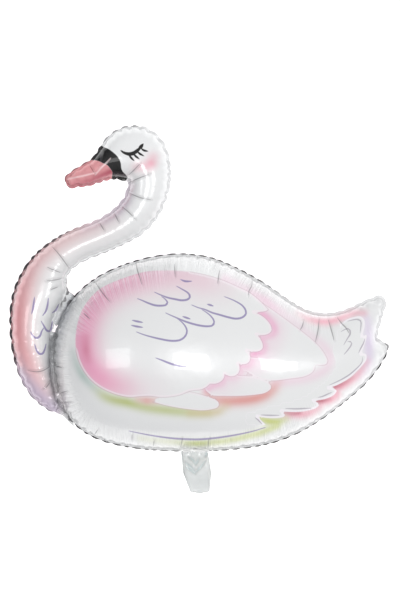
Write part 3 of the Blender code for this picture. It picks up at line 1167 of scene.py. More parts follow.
TAIL_FEATHERS = Stencil("tail_feathers", (
    (
        (86.9, 33.6), (88.5, 34.7), (90.3, 35.3), (91.9, 35.5), (92.9, 34.8), (93.1, 33.0),
        (92.7, 31.4), (92.3, 30.2),
    ),
    ((92.3, 30.2), (93.1, 30.5), (93.7, 30.8)),
    ((93.7, 30.8), (93.5, 29.6), (93.1, 28.3), (92.6, 26.8), (92.0, 25.5)),
    ((92.0, 25.5), (92.9, 25.8), (93.7, 25.4)),
    (
        (93.7, 25.4), (93.5, 24.1), (92.4, 22.6), (91.1, 21.2), (89.3, 19.5), (87.2, 18.2),
        (85.3, 17.3), (83.5, 16.8),
    ),
    ((83.5, 16.8), (84.8, 16.6), (85.9, 16.2)),
    ((85.9, 16.2), (85.3, 15.2), (84.3, 14.5), (82.7, 13.9), (80.9, 13.6), (79.6, 13.5)),
    ((79.6, 13.5), (80.6, 13.0), (81.2, 12.4)),
    (
        (81.2, 12.4), (80.5, 11.6), (79.1, 11.1), (76.7, 10.6), (74.1, 10.5), (72.5, 10.6),
        (71.2, 10.8),
    ),
    ((71.2, 10.8), (72.0, 10.0), (72.4, 9.4)),
    ((72.4, 9.4), (71.5, 9.1), (69.4, 8.9), (67.0, 9.0), (64.9, 9.4)),
    ((64.9, 9.4), (66.2, 8.1), (67.3, 7.1)),
    (
        (67.3, 7.1), (62.6, 7.3), (62.0, 9.7), (66.2, 11.3), (72.3, 12.8), (77.0, 14.4),
        (81.9, 17.8), (85.6, 22.5), (84.8, 26.7), (86.9, 33.6),
    ),
), (12,))
BILL_ROOT = (
    (26.8, 71.2), (27.0, 72.4), (27.0, 73.4), (26.4, 74.3), (25.7, 75.1), (24.6, 75.6),
    (23.6, 76.1),
    (22.3, 76.4), (20.9, 76.4),
)
FACE_PATCH = Stencil("face_patch", (
    (
        (24.0, 80.4), (24.9, 79.8), (25.9, 79.4), (27.2, 78.5), (28.3, 77.5), (29.0, 76.4),
        (29.3, 75.4), (29.4, 74.3), (29.8, 73.4), (30.6, 72.6), (31.1, 71.9),
    ),
    ((31.1, 71.9), (30.6, 71.0), (29.6, 70.4)),
    ((29.6, 70.4), (28.5, 70.9), (27.5, 71.3), (26.8, 71.2)),
    BILL_ROOT,
    ((20.9, 76.4), (20.7, 77.7), (22.5, 80.6), (24.0, 80.4)),
))
BILL = Stencil("bill", (
    BILL_ROOT,
    ((20.9, 76.4), (19.6, 78.5)), ((19.6, 78.5), (12.3, 75.1)), ((12.3, 75.1), (11.8, 67.0)),
    ((11.8, 67.0), (27.0, 68.1)), ((27.0, 68.1), (26.8, 71.2)),
))
LID_PEN = Pen("lid", (
    (
        (29.3, 78.9), (30.2, 78.3), (31.4, 78.0), (32.6, 78.2), (33.6, 78.9), (34.4, 79.7),
        (35.0, 80.5),
    ),
    ((33.9, 79.3), (34.6, 80.0), (35.1, 80.6)),
), 0.52, 0.8)
LASH_PEN = Pen("lash", (
    ((31.3, 78.0), (31.9, 77.1), (32.8, 76.2)),
    ((32.5, 78.2), (33.2, 77.4), (34.1, 76.7)),
    ((33.5, 78.8), (34.2, 78.1), (35.3, 77.5)),
    ((34.5, 79.6), (35.2, 79.0), (36.4, 78.7)),
), 0.30, 0.8)
BILL_PEN = Pen("bill_fold", (
    ((15.6, 69.4), (17.9, 69.6), (20.1, 69.8), (22.1, 70.2), (24.3, 70.8), (26.2, 71.6)),
    ((15.9, 73.4), (16.6, 74.2), (17.7, 74.9), (19.4, 75.6), (21.2, 76.4)),
    ((21.2, 74.9), (21.8, 73.9), (22.3, 73.0)),
    ((15.0, 72.3), (15.7, 72.9), (16.3, 72.7)),
    ((14.3, 70.7), (15.2, 70.4), (16.0, 69.7)),
), 0.16, 0.8)
RIDGE_PEN = Pen("bill_ridge", (
    ((15.4, 71.4), (17.0, 71.8), (19.4, 72.3), (21.5, 72.8), (23.0, 73.2)),
    ((22.6, 72.6), (24.0, 74.2), (25.4, 75.6), (26.6, 76.9)),
), 0.12, 0.9)
TAIL_PEN = Pen("tail_fold", (
    ((45.8, -2.6), (47.7, -4.0), (48.8, -5.5)), ((48.9, -5.5), (50.0, -4.1), (51.3, -2.4)),
    ((45.9, -3.7), (47.4, -4.7), (48.7, -5.9)), ((47.1, -1.3), (48.2, -2.1), (48.8, -3.3)),
    ((48.9, -3.3), (49.7, -1.8)), ((44.9, 0.4), (45.2, -1.4), (45.6, -3.0)),
    ((52.0, 0.4), (51.4, -1.2)),
), 0.22, 0.8)
PLUME_PEN = Pen("plume", (
    (
        (33.5, 40.2), (34.8, 39.7), (36.4, 39.0), (38.2, 38.4), (39.8, 38.3), (41.1, 38.5),
        (41.5, 39.1), (40.8, 40.1), (39.8, 40.8),
    ),
    (
        (38.0, 41.9), (39.5, 41.2), (41.6, 40.4), (43.5, 40.0), (45.3, 39.7), (46.9, 40.0),
        (47.4, 40.7), (46.9, 41.6), (45.5, 42.5), (43.7, 43.5),
    ),
    (
        (33.2, 31.5), (35.3, 30.7), (37.4, 30.1), (39.5, 29.6), (41.6, 29.2), (43.5, 29.1),
        (45.0, 29.4), (46.2, 30.4), (46.6, 31.7), (46.1, 33.0), (44.8, 34.4), (43.2, 35.5),
    ),
    (
        (40.8, 36.5), (42.1, 35.9), (43.7, 35.2), (45.8, 34.3), (47.9, 33.6), (50.0, 33.1),
        (52.1, 32.9), (53.4, 33.2), (53.7, 34.2), (52.9, 35.5), (51.6, 36.6), (50.3, 37.4),
    ),
    (
        (47.6, 38.6), (49.5, 37.8), (51.3, 37.3), (53.1, 36.5), (55.2, 35.9), (57.3, 35.3),
        (59.4, 34.9), (61.0, 35.2), (62.0, 36.1), (61.9, 37.2), (61.0, 38.4), (59.4, 39.4),
        (57.9, 40.1), (56.3, 40.7),
    ),
    ((38.2, 24.7), (40.1, 24.0), (42.1, 23.2), (44.2, 22.6), (46.6, 22.3)),
    ((32.2, 34.5), (33.5, 34.2), (35.1, 33.9)),
    ((31.9, 33.2), (33.2, 32.9), (35.1, 32.6)),
    ((45.4, 35.5), (46.3, 35.2), (47.5, 34.8)),
    ((51.8, 38.7), (52.6, 38.5), (53.5, 38.2)),
    ((44.8, 45.2), (46.1, 44.7), (47.9, 44.7)),
    ((5.9, 36.1), (6.3, 37.7), (6.7, 40.6)),
    ((8.8, 35.7), (9.6, 36.8), (10.1, 38.5), (10.3, 40.3)),
    ((11.3, 36.4), (12.3, 37.2), (13.0, 38.7)),
    ((5.5, 31.7), (6.2, 30.5), (7.2, 29.8), (8.1, 30.4), (8.6, 31.7), (9.2, 32.6)),
    ((8.4, 34.3), (9.2, 32.9), (9.9, 31.8), (10.7, 31.7), (11.1, 32.7), (11.4, 34.3)),
    ((6.7, 28.3), (7.2, 26.7), (8.0, 25.7), (8.8, 25.8), (9.4, 27.0), (9.7, 28.3)),
    (
        (31.4, 5.5), (36.4, 4.5), (39.5, 4.0), (42.7, 3.6), (45.8, 3.4), (49.2, 3.3), (52.4, 3.5),
        (55.8, 3.9), (60.5, 4.7), (64.4, 5.6), (67.3, 6.5),
    ),
), 0.27, 0.9)
QUILL_PEN = Pen("quill", (
    ((88.5, 34.2), (90.1, 34.6), (91.4, 34.7), (92.1, 34.2), (92.1, 32.7), (91.9, 31.2)),
    ((93.2, 29.8), (92.8, 28.5), (92.1, 27.2), (91.5, 25.9)),
    (
        (92.5, 24.9), (92.5, 23.8), (91.9, 22.8), (90.8, 21.7), (89.3, 20.4), (87.4, 19.2),
        (85.6, 18.3), (83.8, 17.5),
    ),
    ((84.6, 15.7), (83.5, 15.2), (81.9, 14.5), (80.9, 14.3)),
    ((79.3, 11.5), (77.5, 11.4), (75.1, 11.3), (72.3, 11.4)),
    ((70.9, 9.6), (68.3, 9.6), (65.7, 9.7)),
    ((64.4, 9.0), (65.2, 8.4), (66.2, 7.3)),
    (
        (86.9, 31.5), (88.0, 32.1), (88.7, 32.3), (89.3, 31.8), (89.3, 30.9), (88.6, 29.7),
        (87.6, 28.0),
    ),
    ((88.5, 28.9), (89.5, 28.9), (89.7, 28.3), (89.0, 27.1), (87.6, 25.4)),
    ((77.0, 24.6), (77.7, 24.1), (78.8, 23.9)),
), 0.17, 0.8)
FOLD_PEN = Pen("fold", (
    ((33.2, 49.7), (33.6, 47.6), (34.2, 45.8), (34.8, 43.7)),
    ((43.3, 49.2), (43.5, 45.8)),
    ((55.1, 47.6), (54.8, 45.5), (54.6, 44.0)),
    ((63.7, 45.0), (63.5, 43.5), (62.8, 42.1), (62.6, 40.8)),
    ((77.1, 34.3), (76.8, 33.0), (76.2, 31.9)),
    ((81.2, 34.8), (80.9, 31.9), (80.2, 28.8)),
    ((83.6, 34.6), (84.2, 32.5), (84.8, 30.4), (85.1, 29.1)),
    ((85.9, 35.2), (87.2, 33.5), (88.2, 32.5), (89.1, 30.9)),
    ((32.2, 4.7), (32.2, 2.9)),
    ((45.4, 3.7), (45.2, 2.4), (44.8, 1.0)),
    ((52.4, 3.7), (52.2, 2.4), (52.1, 1.0)),
    ((38.0, 3.1), (37.8, 1.6)),
    ((23.3, 5.9), (22.4, 4.6)),
    ((22.3, 44.8), (23.6, 42.9), (24.9, 41.1), (26.4, 39.3)),
    ((19.6, 36.3), (21.2, 34.8)),
    ((11.3, 53.7), (12.8, 52.1), (14.4, 50.0), (15.8, 48.0)),
    ((9.9, 48.4), (11.8, 47.6), (13.4, 47.0)),
    ((9.7, 44.8), (11.8, 45.0), (13.6, 45.3)),
    ((10.7, 42.4), (12.8, 43.2)),
    ((15.1, 44.0), (16.0, 42.7), (17.1, 40.8)),
    ((5.0, 21.3), (7.1, 21.0), (8.9, 21.3), (10.7, 22.4)),
    ((8.9, 16.4), (9.9, 17.1), (10.6, 18.1)),
    ((11.8, 22.6), (13.9, 22.1)),
    ((13.9, 13.0), (16.5, 13.1)),
    ((13.4, 15.4), (15.4, 16.0)),
    ((31.3, 72.5), (32.7, 73.8), (34.3, 75.5)),
    ((31.4, 70.5), (33.8, 71.6), (36.9, 72.8)),
    ((31.5, 67.8), (33.0, 67.1), (34.6, 66.5), (37.2, 66.0)),
    ((29.5, 64.3), (31.4, 62.7), (33.1, 60.9)),
    ((27.7, 62.3), (28.7, 60.2)),
    ((23.8, 59.9), (24.9, 58.0)),
    ((24.0, 79.8), (24.1, 77.7), (23.8, 76.2)),
), 0.15, 0.8)
SCALLOP_STROKES = (
    Airbrush((
        (67.8, 36.1, 0.3), (69.9, 33.0, 0.4), (69.4, 29.3, 0.35), (67.3, 25.7, 0.35),
        (64.7, 22.5, 0.35), (60.5, 19.9, 0.25), (55.8, 16.8, 0.3),
    ), SOFT_PINK, 2.0),
    Airbrush((
        (64.7, 36.5, 0.5), (66.5, 36.0, 0.85), (68.1, 34.7, 0.7), (69.4, 32.7, 0.75),
        (69.4, 31.2, 0.6),
        (67.3, 30.1, 0.6), (66.2, 29.8, 0.7), (66.9, 28.0, 0.55), (66.5, 26.4, 0.6),
        (64.7, 25.8, 1.0),
        (63.5, 25.4, 0.8), (63.6, 23.8, 0.45), (62.6, 22.5, 0.5), (60.7, 22.5, 0.65),
        (60.7, 20.9, 0.4),
        (58.9, 19.4, 0.3), (56.8, 19.6, 0.55), (55.8, 18.1, 0.5), (53.4, 17.3, 0.65),
        (51.6, 16.2, 0.6),
    ), SCALLOP_PINK, 0.75),
)
FILM_STROKES = (
    # Painted light: the head and the upper back are a brighter white.
    Airbrush((
        (27.0, 78.0, 0.8), (31.0, 81.0, 0.8), (35.5, 79.0, 0.7), (37.0, 73.0, 0.4),
    ), PAINTED_LIGHT_PEARL, 4.0),
    Airbrush((
        (21.5, 43.5, 0.3), (26.4, 46.6, 0.6), (31.7, 48.6, 0.7), (39.5, 49.6, 0.7),
        (50.0, 48.9, 0.7), (57.9, 46.8, 0.6),
    ), PAINTED_LIGHT_PEARL, 1.6),
    Airbrush((
        (56.5, 45.3, 0.5), (60.5, 43.5, 0.4), (64.4, 41.2, 0.6), (67.0, 39.7, 0.75),
        (69.1, 38.0, 0.6),
        (72.3, 35.9, 0.35), (76.2, 32.7, 0.35), (80.1, 29.6, 0.4), (82.5, 27.5, 0.45),
        (84.0, 25.1, 0.5),
        (83.5, 22.3, 0.45), (80.9, 20.4, 0.5), (77.5, 19.2, 0.5), (73.0, 18.5, 0.55),
        (69.6, 18.1, 0.5),
    ), SOFT_PINK, 1.0),
    SCALLOP_STROKES[0],
    SCALLOP_STROKES[1],
    Airbrush((
        (52.4, 15.4, 0.6), (53.1, 14.1, 0.6), (56.5, 13.4, 0.9), (60.5, 13.5, 1.0),
        (64.4, 14.0, 1.0),
        (67.3, 15.1, 0.9), (69.4, 16.8, 0.65), (70.4, 18.3, 0.3),
    ), SALMON, 1.15),
    Airbrush((
        (22.8, 16.5, 0.3), (24.9, 14.7, 0.7), (27.7, 13.6, 0.9), (30.9, 13.0, 1.0),
        (34.3, 12.0, 0.8),
        (37.4, 11.4, 0.8), (40.8, 11.0, 0.85), (44.8, 10.6, 0.8), (48.7, 10.3, 0.6),
        (52.1, 10.3, 0.4),
    ), GREEN, 1.0),
    Airbrush((
        (47.4, 10.2, 0.4), (51.3, 10.2, 0.6), (54.7, 10.6, 0.6), (56.8, 11.8, 0.3),
    ), OCHRE, 0.9),
    Airbrush((
        (16.8, 26.2, 0.25), (17.8, 22.8, 0.5), (19.4, 19.9, 0.7), (21.2, 17.8, 0.5),
        (23.0, 16.2, 0.2),
    ), TEAL, 0.8),
    Airbrush(((33.8, 13.9, 0.4), (36.1, 13.5, 0.8), (38.7, 13.5, 0.4)), SALMON, 0.75),
    Airbrush((
        (75.7, 36.4, 0.25), (78.3, 34.9, 0.6), (81.4, 34.2, 0.9), (84.6, 34.3, 0.9),
        (88.0, 35.5, 0.75),
        (90.6, 36.4, 0.65), (92.9, 36.3, 0.55),
    ), ROSE, 0.8),
    Airbrush((
        (93.7, 34.6, 0.5), (94.0, 31.4, 0.6), (94.1, 28.0, 0.75), (94.2, 24.9, 0.65),
        (93.5, 22.5, 0.5),
        (91.4, 19.9, 0.3),
    ), LILAC, 1.0),
    Airbrush((
        (93.5, 23.6, 0.4), (91.4, 20.5, 0.7), (89.3, 18.7, 0.85), (86.9, 17.3, 1.0),
        (85.3, 16.5, 0.9),
        (85.9, 15.2, 0.8), (84.0, 13.7, 0.95), (81.9, 13.1, 0.95), (81.4, 12.0, 0.6),
        (78.8, 10.3, 0.8),
        (76.2, 9.9, 0.95), (73.6, 9.9, 0.8), (72.5, 9.7, 0.5),
    ), ROSE, 0.85),
    Airbrush(((89.8, 19.5, 0.2), (86.6, 17.7, 0.6), (84.6, 16.8, 0.8)), DEEP_ROSE, 0.4),
    Airbrush(((84.0, 14.0, 0.4), (81.9, 13.4, 0.8), (80.4, 13.2, 0.7)), DEEP_ROSE, 0.4),
    Airbrush(((76.2, 10.2, 0.45), (73.0, 10.2, 0.5), (72.0, 10.3, 0.5)), DEEP_ROSE, 0.35),
    Airbrush((
        (65.7, 8.8, 0.7), (67.8, 8.1, 1.0), (70.4, 8.0, 0.85), (72.5, 8.5, 0.4),
    ), YELLOW_GREEN, 0.75),
    Airbrush((
        (70.2, 6.8, 0.7), (67.8, 5.8, 0.75), (65.2, 4.8, 0.75), (62.3, 4.1, 0.7), (59.2, 3.3, 0.7),
        (55.8, 2.7, 0.7), (52.4, 2.4, 0.75), (49.0, 2.2, 0.9), (45.5, 2.4, 0.5), (42.1, 2.6, 0.35),
        (38.2, 3.0, 0.25), (34.3, 3.5, 0.2),
    ), YELLOW_GREEN, 0.7),
    Airbrush((
        (26.4, 60.5, 0.15), (22.5, 59.2, 0.35), (18.6, 57.9, 0.45), (13.4, 55.2, 0.5),
        (9.4, 52.6, 0.6),
        (6.3, 49.2, 0.7), (4.5, 45.0, 0.8), (3.4, 40.6, 0.9), (2.6, 35.9, 1.0), (2.5, 31.4, 1.0),
        (3.2, 27.5, 0.95), (4.4, 24.1, 0.9), (5.9, 20.8, 0.75), (7.6, 17.8, 0.6), (9.6, 15.0, 0.5),
        (11.0, 12.8, 0.3),
    ), CORAL, 2.2),
    Airbrush((
        (1.3, 23.6, 0.4), (2.9, 20.4, 0.6), (5.0, 17.8, 0.65), (7.3, 15.2, 0.7), (9.7, 13.1, 0.7),
        (11.5, 11.5, 0.7),
    ), NECK_LILAC, 1.6),
    Airbrush((
        (31.4, 69.6, 0.5), (30.9, 67.0, 0.65), (29.3, 64.1, 0.65), (26.7, 61.8, 0.55),
        (23.3, 60.2, 0.4),
        (19.6, 58.6, 0.25),
    ), MAUVE, 1.1),
    Airbrush((
        (33.5, 74.6, 0.4), (35.9, 74.9, 0.65), (37.2, 75.7, 0.9), (37.7, 77.0, 0.5),
    ), ROSE, 1.1),
    # Painted shade: grey beside the groove between neck and body, a wide soft band and a narrow
    # dark one.
    Airbrush((
        (17.3, 42.0, 0.35), (15.9, 39.4, 0.4), (14.2, 36.0, 0.35), (12.5, 31.6, 0.35),
        (11.0, 26.2, 0.35),
        (10.8, 18.8, 0.35), (12.2, 13.1, 0.35),
    ), SHADE_GREY, 1.1),
    Airbrush((
        (17.6, 41.6, 0.5), (15.9, 39.2, 0.7), (14.7, 37.0, 0.7), (13.5, 34.7, 0.75),
        (12.4, 31.9, 0.8),
        (11.3, 28.8, 0.65), (10.8, 25.1, 0.45), (10.8, 21.5, 0.45), (11.2, 18.3, 0.45),
        (12.0, 15.2, 0.55),
        (13.2, 12.6, 0.6), (14.5, 10.5, 0.4), (16.0, 8.1, 0.2),
    ), GROOVE_SHADE_GREY, 0.42),
    # Painted highlight: the lit band where the neck's outer film turns over the seam.
    Airbrush((
        (3.9, 45.3, 0.5), (2.6, 41.9, 0.7), (1.8, 37.2, 0.8), (1.4, 31.9, 0.8), (1.8, 27.5, 0.7),
        (3.1, 22.8, 0.5),
    ), BRIGHT_PINK, 0.35),
    # Painted shade: dark maroon along the neck's outer rim, where the film turns under.
    Airbrush((
        (19.9, 59.6, 0.2), (17.3, 58.8, 0.45), (13.4, 57.3, 0.8), (10.5, 55.6, 1.0),
        (7.9, 53.3, 1.0),
        (5.8, 50.9, 1.0), (3.7, 47.9, 1.0), (2.0, 44.5, 1.0), (0.8, 40.6, 1.0), (0.3, 35.9, 1.0),
        (0.1, 31.9, 1.0), (0.5, 28.0, 1.0), (1.4, 24.6, 0.8),
    ), MAROON_RIM_SHADE, 0.5),
)
WING_STROKES = (
    Airbrush((
        (55.8, 44.0, 0.2), (51.3, 44.8, 0.35), (47.4, 45.8, 0.4), (43.5, 46.2, 0.45),
        (38.2, 46.1, 0.6),
        (33.0, 45.2, 0.75), (29.1, 44.0, 0.85), (25.7, 42.1, 0.9), (22.8, 39.5, 0.95),
        (20.7, 36.1, 1.0),
        (19.6, 32.5, 1.0), (19.4, 28.5, 1.0), (19.9, 24.9, 1.0), (21.7, 21.5, 1.0),
        (24.6, 18.8, 0.95),
        (27.7, 17.3, 0.75), (31.2, 16.4, 0.5), (34.3, 16.0, 0.25), (37.4, 16.0, 0.1),
    ), PINK, 3.2),
    Airbrush(((20.2, 29.8, 0.3), (20.2, 26.7, 0.6), (20.7, 24.1, 0.3)), DEEP_PINK, 0.8),
)
BILL_STROKES = (
    Airbrush((
        (13.2, 71.2, 0.5), (14.6, 73.0, 0.7), (16.4, 74.5, 0.7), (18.6, 75.8, 0.7),
        (21.2, 77.1, 0.6),
    ), DEEP_ROSE, 0.35),
    Airbrush((
        (14.0, 69.6, 0.5), (15.4, 68.7, 0.6), (18.0, 68.9, 0.6), (22.0, 69.4, 0.6),
        (26.2, 70.6, 0.6),
    ), DEEP_ROSE, 0.35),
    Airbrush((
        (27.0, 73.6, 0.9), (24.6, 72.5, 0.85), (22.5, 71.5, 0.7), (19.6, 70.4, 0.5),
        (17.5, 69.9, 0.3),
    ), DEEP_ROSE, 0.6),
    Airbrush(((25.7, 71.2, 0.6), (23.0, 70.2, 0.6), (19.9, 69.4, 0.4)), BRIGHT_PINK, 0.6),
    Airbrush((
        (15.5, 70.2, 0.3), (18.5, 70.2, 0.5), (21.8, 70.7, 0.55), (25.2, 71.8, 0.4),
    ), BILL_SHADE, 0.8),
)
# Painted shade where the rim folds under and shows dark dashes
EDGE_SHADOW = Airbrush((
    (16.0, 7.3, 0.8), (17.0, 6.3, 1.0), (21.2, 3.9, 1.0), (26.4, 2.4, 1.0), (31.7, 1.3, 0.9),
    (39.5, 0.7, 0.6), (44.2, 0.5, 0.6), (44.9, 0.5, 0.0), (52.1, 0.5, 0.0), (52.8, 0.5, 0.6),
    (66.2, 1.6, 0.9), (72.3, 3.4, 1.0), (76.2, 5.2, 0.8),
    (83.5, 9.7, 0.8), (88.0, 13.4, 0.7), (91.9, 17.0, 0.8), (95.8, 21.2, 1.0), (98.4, 25.1, 1.0),
    (99.5, 27.7, 0.8), (99.2, 29.8, 0.1),
), FOLD_SHADE_GREY, 3.0)
EDGE_SHADOW_TOP = Airbrush((
    (17.3, 40.8, 1.0), (21.2, 44.8, 1.0), (26.4, 48.2, 1.0), (31.7, 50.0, 1.0), (39.5, 51.3, 0.9),
    (50.0, 50.5, 0.9), (57.9, 48.2, 0.9), (63.6, 45.5, 1.0), (66.2, 44.2, 0.8), (70.9, 42.1, 0.3),
    (76.2, 39.0, 0.1),
), FOLD_SHADE_GREY, 3.0)
EDGE_SHADOW_HEAD = Airbrush((
    (13.4, 68.6, 0.5), (14.9, 72.3, 0.5), (20.2, 76.4, 0.5), (23.8, 80.6, 0.6), (25.9, 83.2, 0.6),
    (29.1, 84.8, 0.6), (32.2, 85.3, 0.7), (34.0, 85.1, 0.6),
    (35.3, 85.1, 0.0),
), FOLD_SHADE_GREY, 2.0)
EDGE_SHADOW_NECK = Airbrush((
    (13.4, 57.3, 0.8), (5.8, 51.0, 1.0), (1.8, 44.5, 1.0), (0.3, 35.9, 1.0), (0.3, 30.6, 1.0),
    (1.3, 24.9, 0.9),
    (4.2, 18.3, 0.5), (10.7, 11.0, 0.5),
), FOLD_SHADE_GREY, 2.0)


class PrintedPicture:
    """The print, with painted shade and highlights: soft colours and sharp edges as fields over the
    film.
    """

    bill_ground = (0.91, 0.625, 0.64)
    stencils = (WING, TAIL_FEATHERS, FACE_PATCH, BILL)
    pens = (PLUME_PEN, QUILL_PEN, FOLD_PEN, BILL_PEN, RIDGE_PEN, TAIL_PEN, LASH_PEN, LID_PEN)
    edge_shadows = (EDGE_SHADOW, EDGE_SHADOW_TOP, EDGE_SHADOW_HEAD, EDGE_SHADOW_NECK)

    def colours(self, where: np.ndarray) -> dict:
        """Soft colours of each layer: the print, and in the film layer also painted shade and
        highlights.

        Args:
            where: Points in percent of the length.

        Returns:
            Colours by layer name, one row for each point.
        """
        layers = {}
        for name, ground, strokes in (
            ("film", WHITE, FILM_STROKES),
            ("feather", WHITE, SCALLOP_STROKES),
            ("wing", WHITE, WING_STROKES),
            ("bill", self.bill_ground, BILL_STROKES),
        ):
            layer = np.tile(to_light(ground), (len(where), 1))
            for stroke in strokes:
                stroke.lay(where, layer)
            layers["print_" + name] = layer
        return layers

    def edges(self, where: np.ndarray) -> dict:
        """Distance fields of the printed areas and lines, of the creases and the bill's ridge, and
        of the painted shade at the rim.

        Args:
            where: Points in percent of the length.

        Returns:
            Fields by name, one number for each point.
        """
        fields = {}
        for shape in self.stencils:
            fields["edge_" + shape.name], fields["line_" + shape.name] = shape.fields(where)
        edges, lines = (np.array(rows) for rows in zip(*(s.fields(where) for s in FEATHERS)))
        front = (edges.argmin(axis=0), np.arange(len(where)))
        fields["edge_feathers"], fields["line_feathers"] = edges[front], lines[front]
        for pen in self.pens:
            for i, curves in enumerate(pen.sheets()):
                side, reach = pen.fields(where, curves)
                fields[f"side_{pen.name}_{i}"], fields[f"reach_{pen.name}_{i}"] = side, reach
        shadows = [stroke.cover(where) for stroke in self.edge_shadows]
        fields["edge_shadow"] = np.maximum.reduce(shadows)
        return fields


class NodeChain:
    """Small helper that adds and links shader nodes."""

    def __init__(self, tree: bpy.types.NodeTree) -> None:
        """Keeps the tree.

        Args:
            tree: The node tree that nodes are added to.
        """
        self.tree = tree

    def add(self, kind: str, **settings: object) -> bpy.types.Node:
        """Adds a node and sets its properties.

        Args:
            kind: The node's type name.
            **settings: Property values by name.

        Returns:
            The node.
        """
        node = self.tree.nodes.new(kind)
        for name, value in settings.items():
            setattr(node, name, value)
        return node

    def join(self, source: bpy.types.NodeSocket, target: bpy.types.NodeSocket) -> None:
        """Links an output to an input."""
        self.tree.links.new(source, target)

    def attribute(self, name: str, colour: bool = False) -> bpy.types.NodeSocket:
        """Reads one of the film's fields.

        Args:
            name: The field's name.
            colour: Whether it is a colour.

        Returns:
            The socket that puts it out.
        """
        node = self.add("ShaderNodeAttribute", attribute_name=name)
        return node.outputs["Color" if colour else "Fac"]

    def ramp(self, value: bpy.types.NodeSocket, spots: tuple) -> bpy.types.NodeSocket:
        """Maps a value through straight or smooth steps.

        Args:
            value: The value.
            spots: From low, from high, to low and to high.

        Returns:
            The mapped value.
        """
        node = self.add("ShaderNodeMapRange", interpolation_type="SMOOTHSTEP")
        self.join(value, node.inputs["Value"])
        for name, number in zip(("From Min", "From Max", "To Min", "To Max"), spots):
            node.inputs[name].default_value = number
        return node.outputs["Result"]

    def mix(self, share: object, first: object, second: object) -> bpy.types.NodeSocket:
        """Mixes two colours.

        Args:
            share: A socket or a number from 0 to 1.
            first: A socket or a colour.
            second: A socket or a colour.

        Returns:
            The mixed colour.
        """
        node = self.add("ShaderNodeMix", data_type="RGBA")
        for slot, value in (("Factor", share), ("A", first), ("B", second)):
            wanted = "VALUE" if slot == "Factor" else "RGBA"
            socket = next(i for i in node.inputs if i.name == slot and i.type == wanted)
            if isinstance(value, bpy.types.NodeSocket):
                self.join(value, socket)
            else:
                socket.default_value = value if slot == "Factor" else (*value, 1.0)
        return next(o for o in node.outputs if o.type == "RGBA")

    def maths(self, what: str, first: object, second: object = 0.0) -> bpy.types.NodeSocket:
        """Combines two values.

        Args:
            what: The operation's name.
            first: A socket or a number.
            second: A socket or a number.

        Returns:
            The result.
        """
        node = self.add("ShaderNodeMath", operation=what)
        for socket, value in zip(node.inputs, (first, second)):
            if isinstance(value, bpy.types.NodeSocket):
                self.join(value, socket)
            else:
                socket.default_value = value
        return node.outputs[0]


def film_grain_group() -> bpy.types.NodeTree:
    """Builds the group for the fine waviness and dulling of metallised film.

    Returns:
        The node group, with a Scale input and Height and Dulling outputs.
    """
    group = bpy.data.node_groups.new("film_grain", "ShaderNodeTree")
    face = group.interface
    face.new_socket("Scale", in_out="INPUT", socket_type="NodeSocketFloat")
    face.new_socket("Height", in_out="OUTPUT", socket_type="NodeSocketFloat")
    face.new_socket("Dulling", in_out="OUTPUT", socket_type="NodeSocketFloat")
    chain = NodeChain(group)
    start = chain.add("NodeGroupInput")
    end = chain.add("NodeGroupOutput")
    place = chain.add("ShaderNodeTexCoord")
    waves = chain.add("ShaderNodeTexNoise")
    waves.inputs["Detail"].default_value = 2.0
    chain.join(place.outputs["Object"], waves.inputs["Vector"])
    chain.join(start.outputs["Scale"], waves.inputs["Scale"])
    chain.join(waves.outputs["Fac"], end.inputs["Height"])
    dust = chain.add("ShaderNodeTexNoise")
    dust.inputs["Scale"].default_value = 9.0
    dust.inputs["Detail"].default_value = 5.0
    chain.join(place.outputs["Object"], dust.inputs["Vector"])
    chain.join(chain.ramp(dust.outputs["Fac"], (0.35, 0.75, 0.0, 1.0)), end.inputs["Dulling"])
    return group


def pen_depth(chain: NodeChain, pen: Pen) -> bpy.types.NodeSocket:
    """Finds how far inside a pen's lines a point is.

    Args:
        chain: The material's nodes.
        pen: The pen.

    Returns:
        The distance in percent, negative off the lines.
    """
    found = None
    for i in range(len(pen.sheets())):
        away = chain.maths("ABSOLUTE", chain.attribute(f"side_{pen.name}_{i}"))
        inside = chain.maths("SUBTRACT", chain.attribute(f"reach_{pen.name}_{i}"), away)
        found = inside if found is None else chain.maths("MAXIMUM", found, inside)
    return found


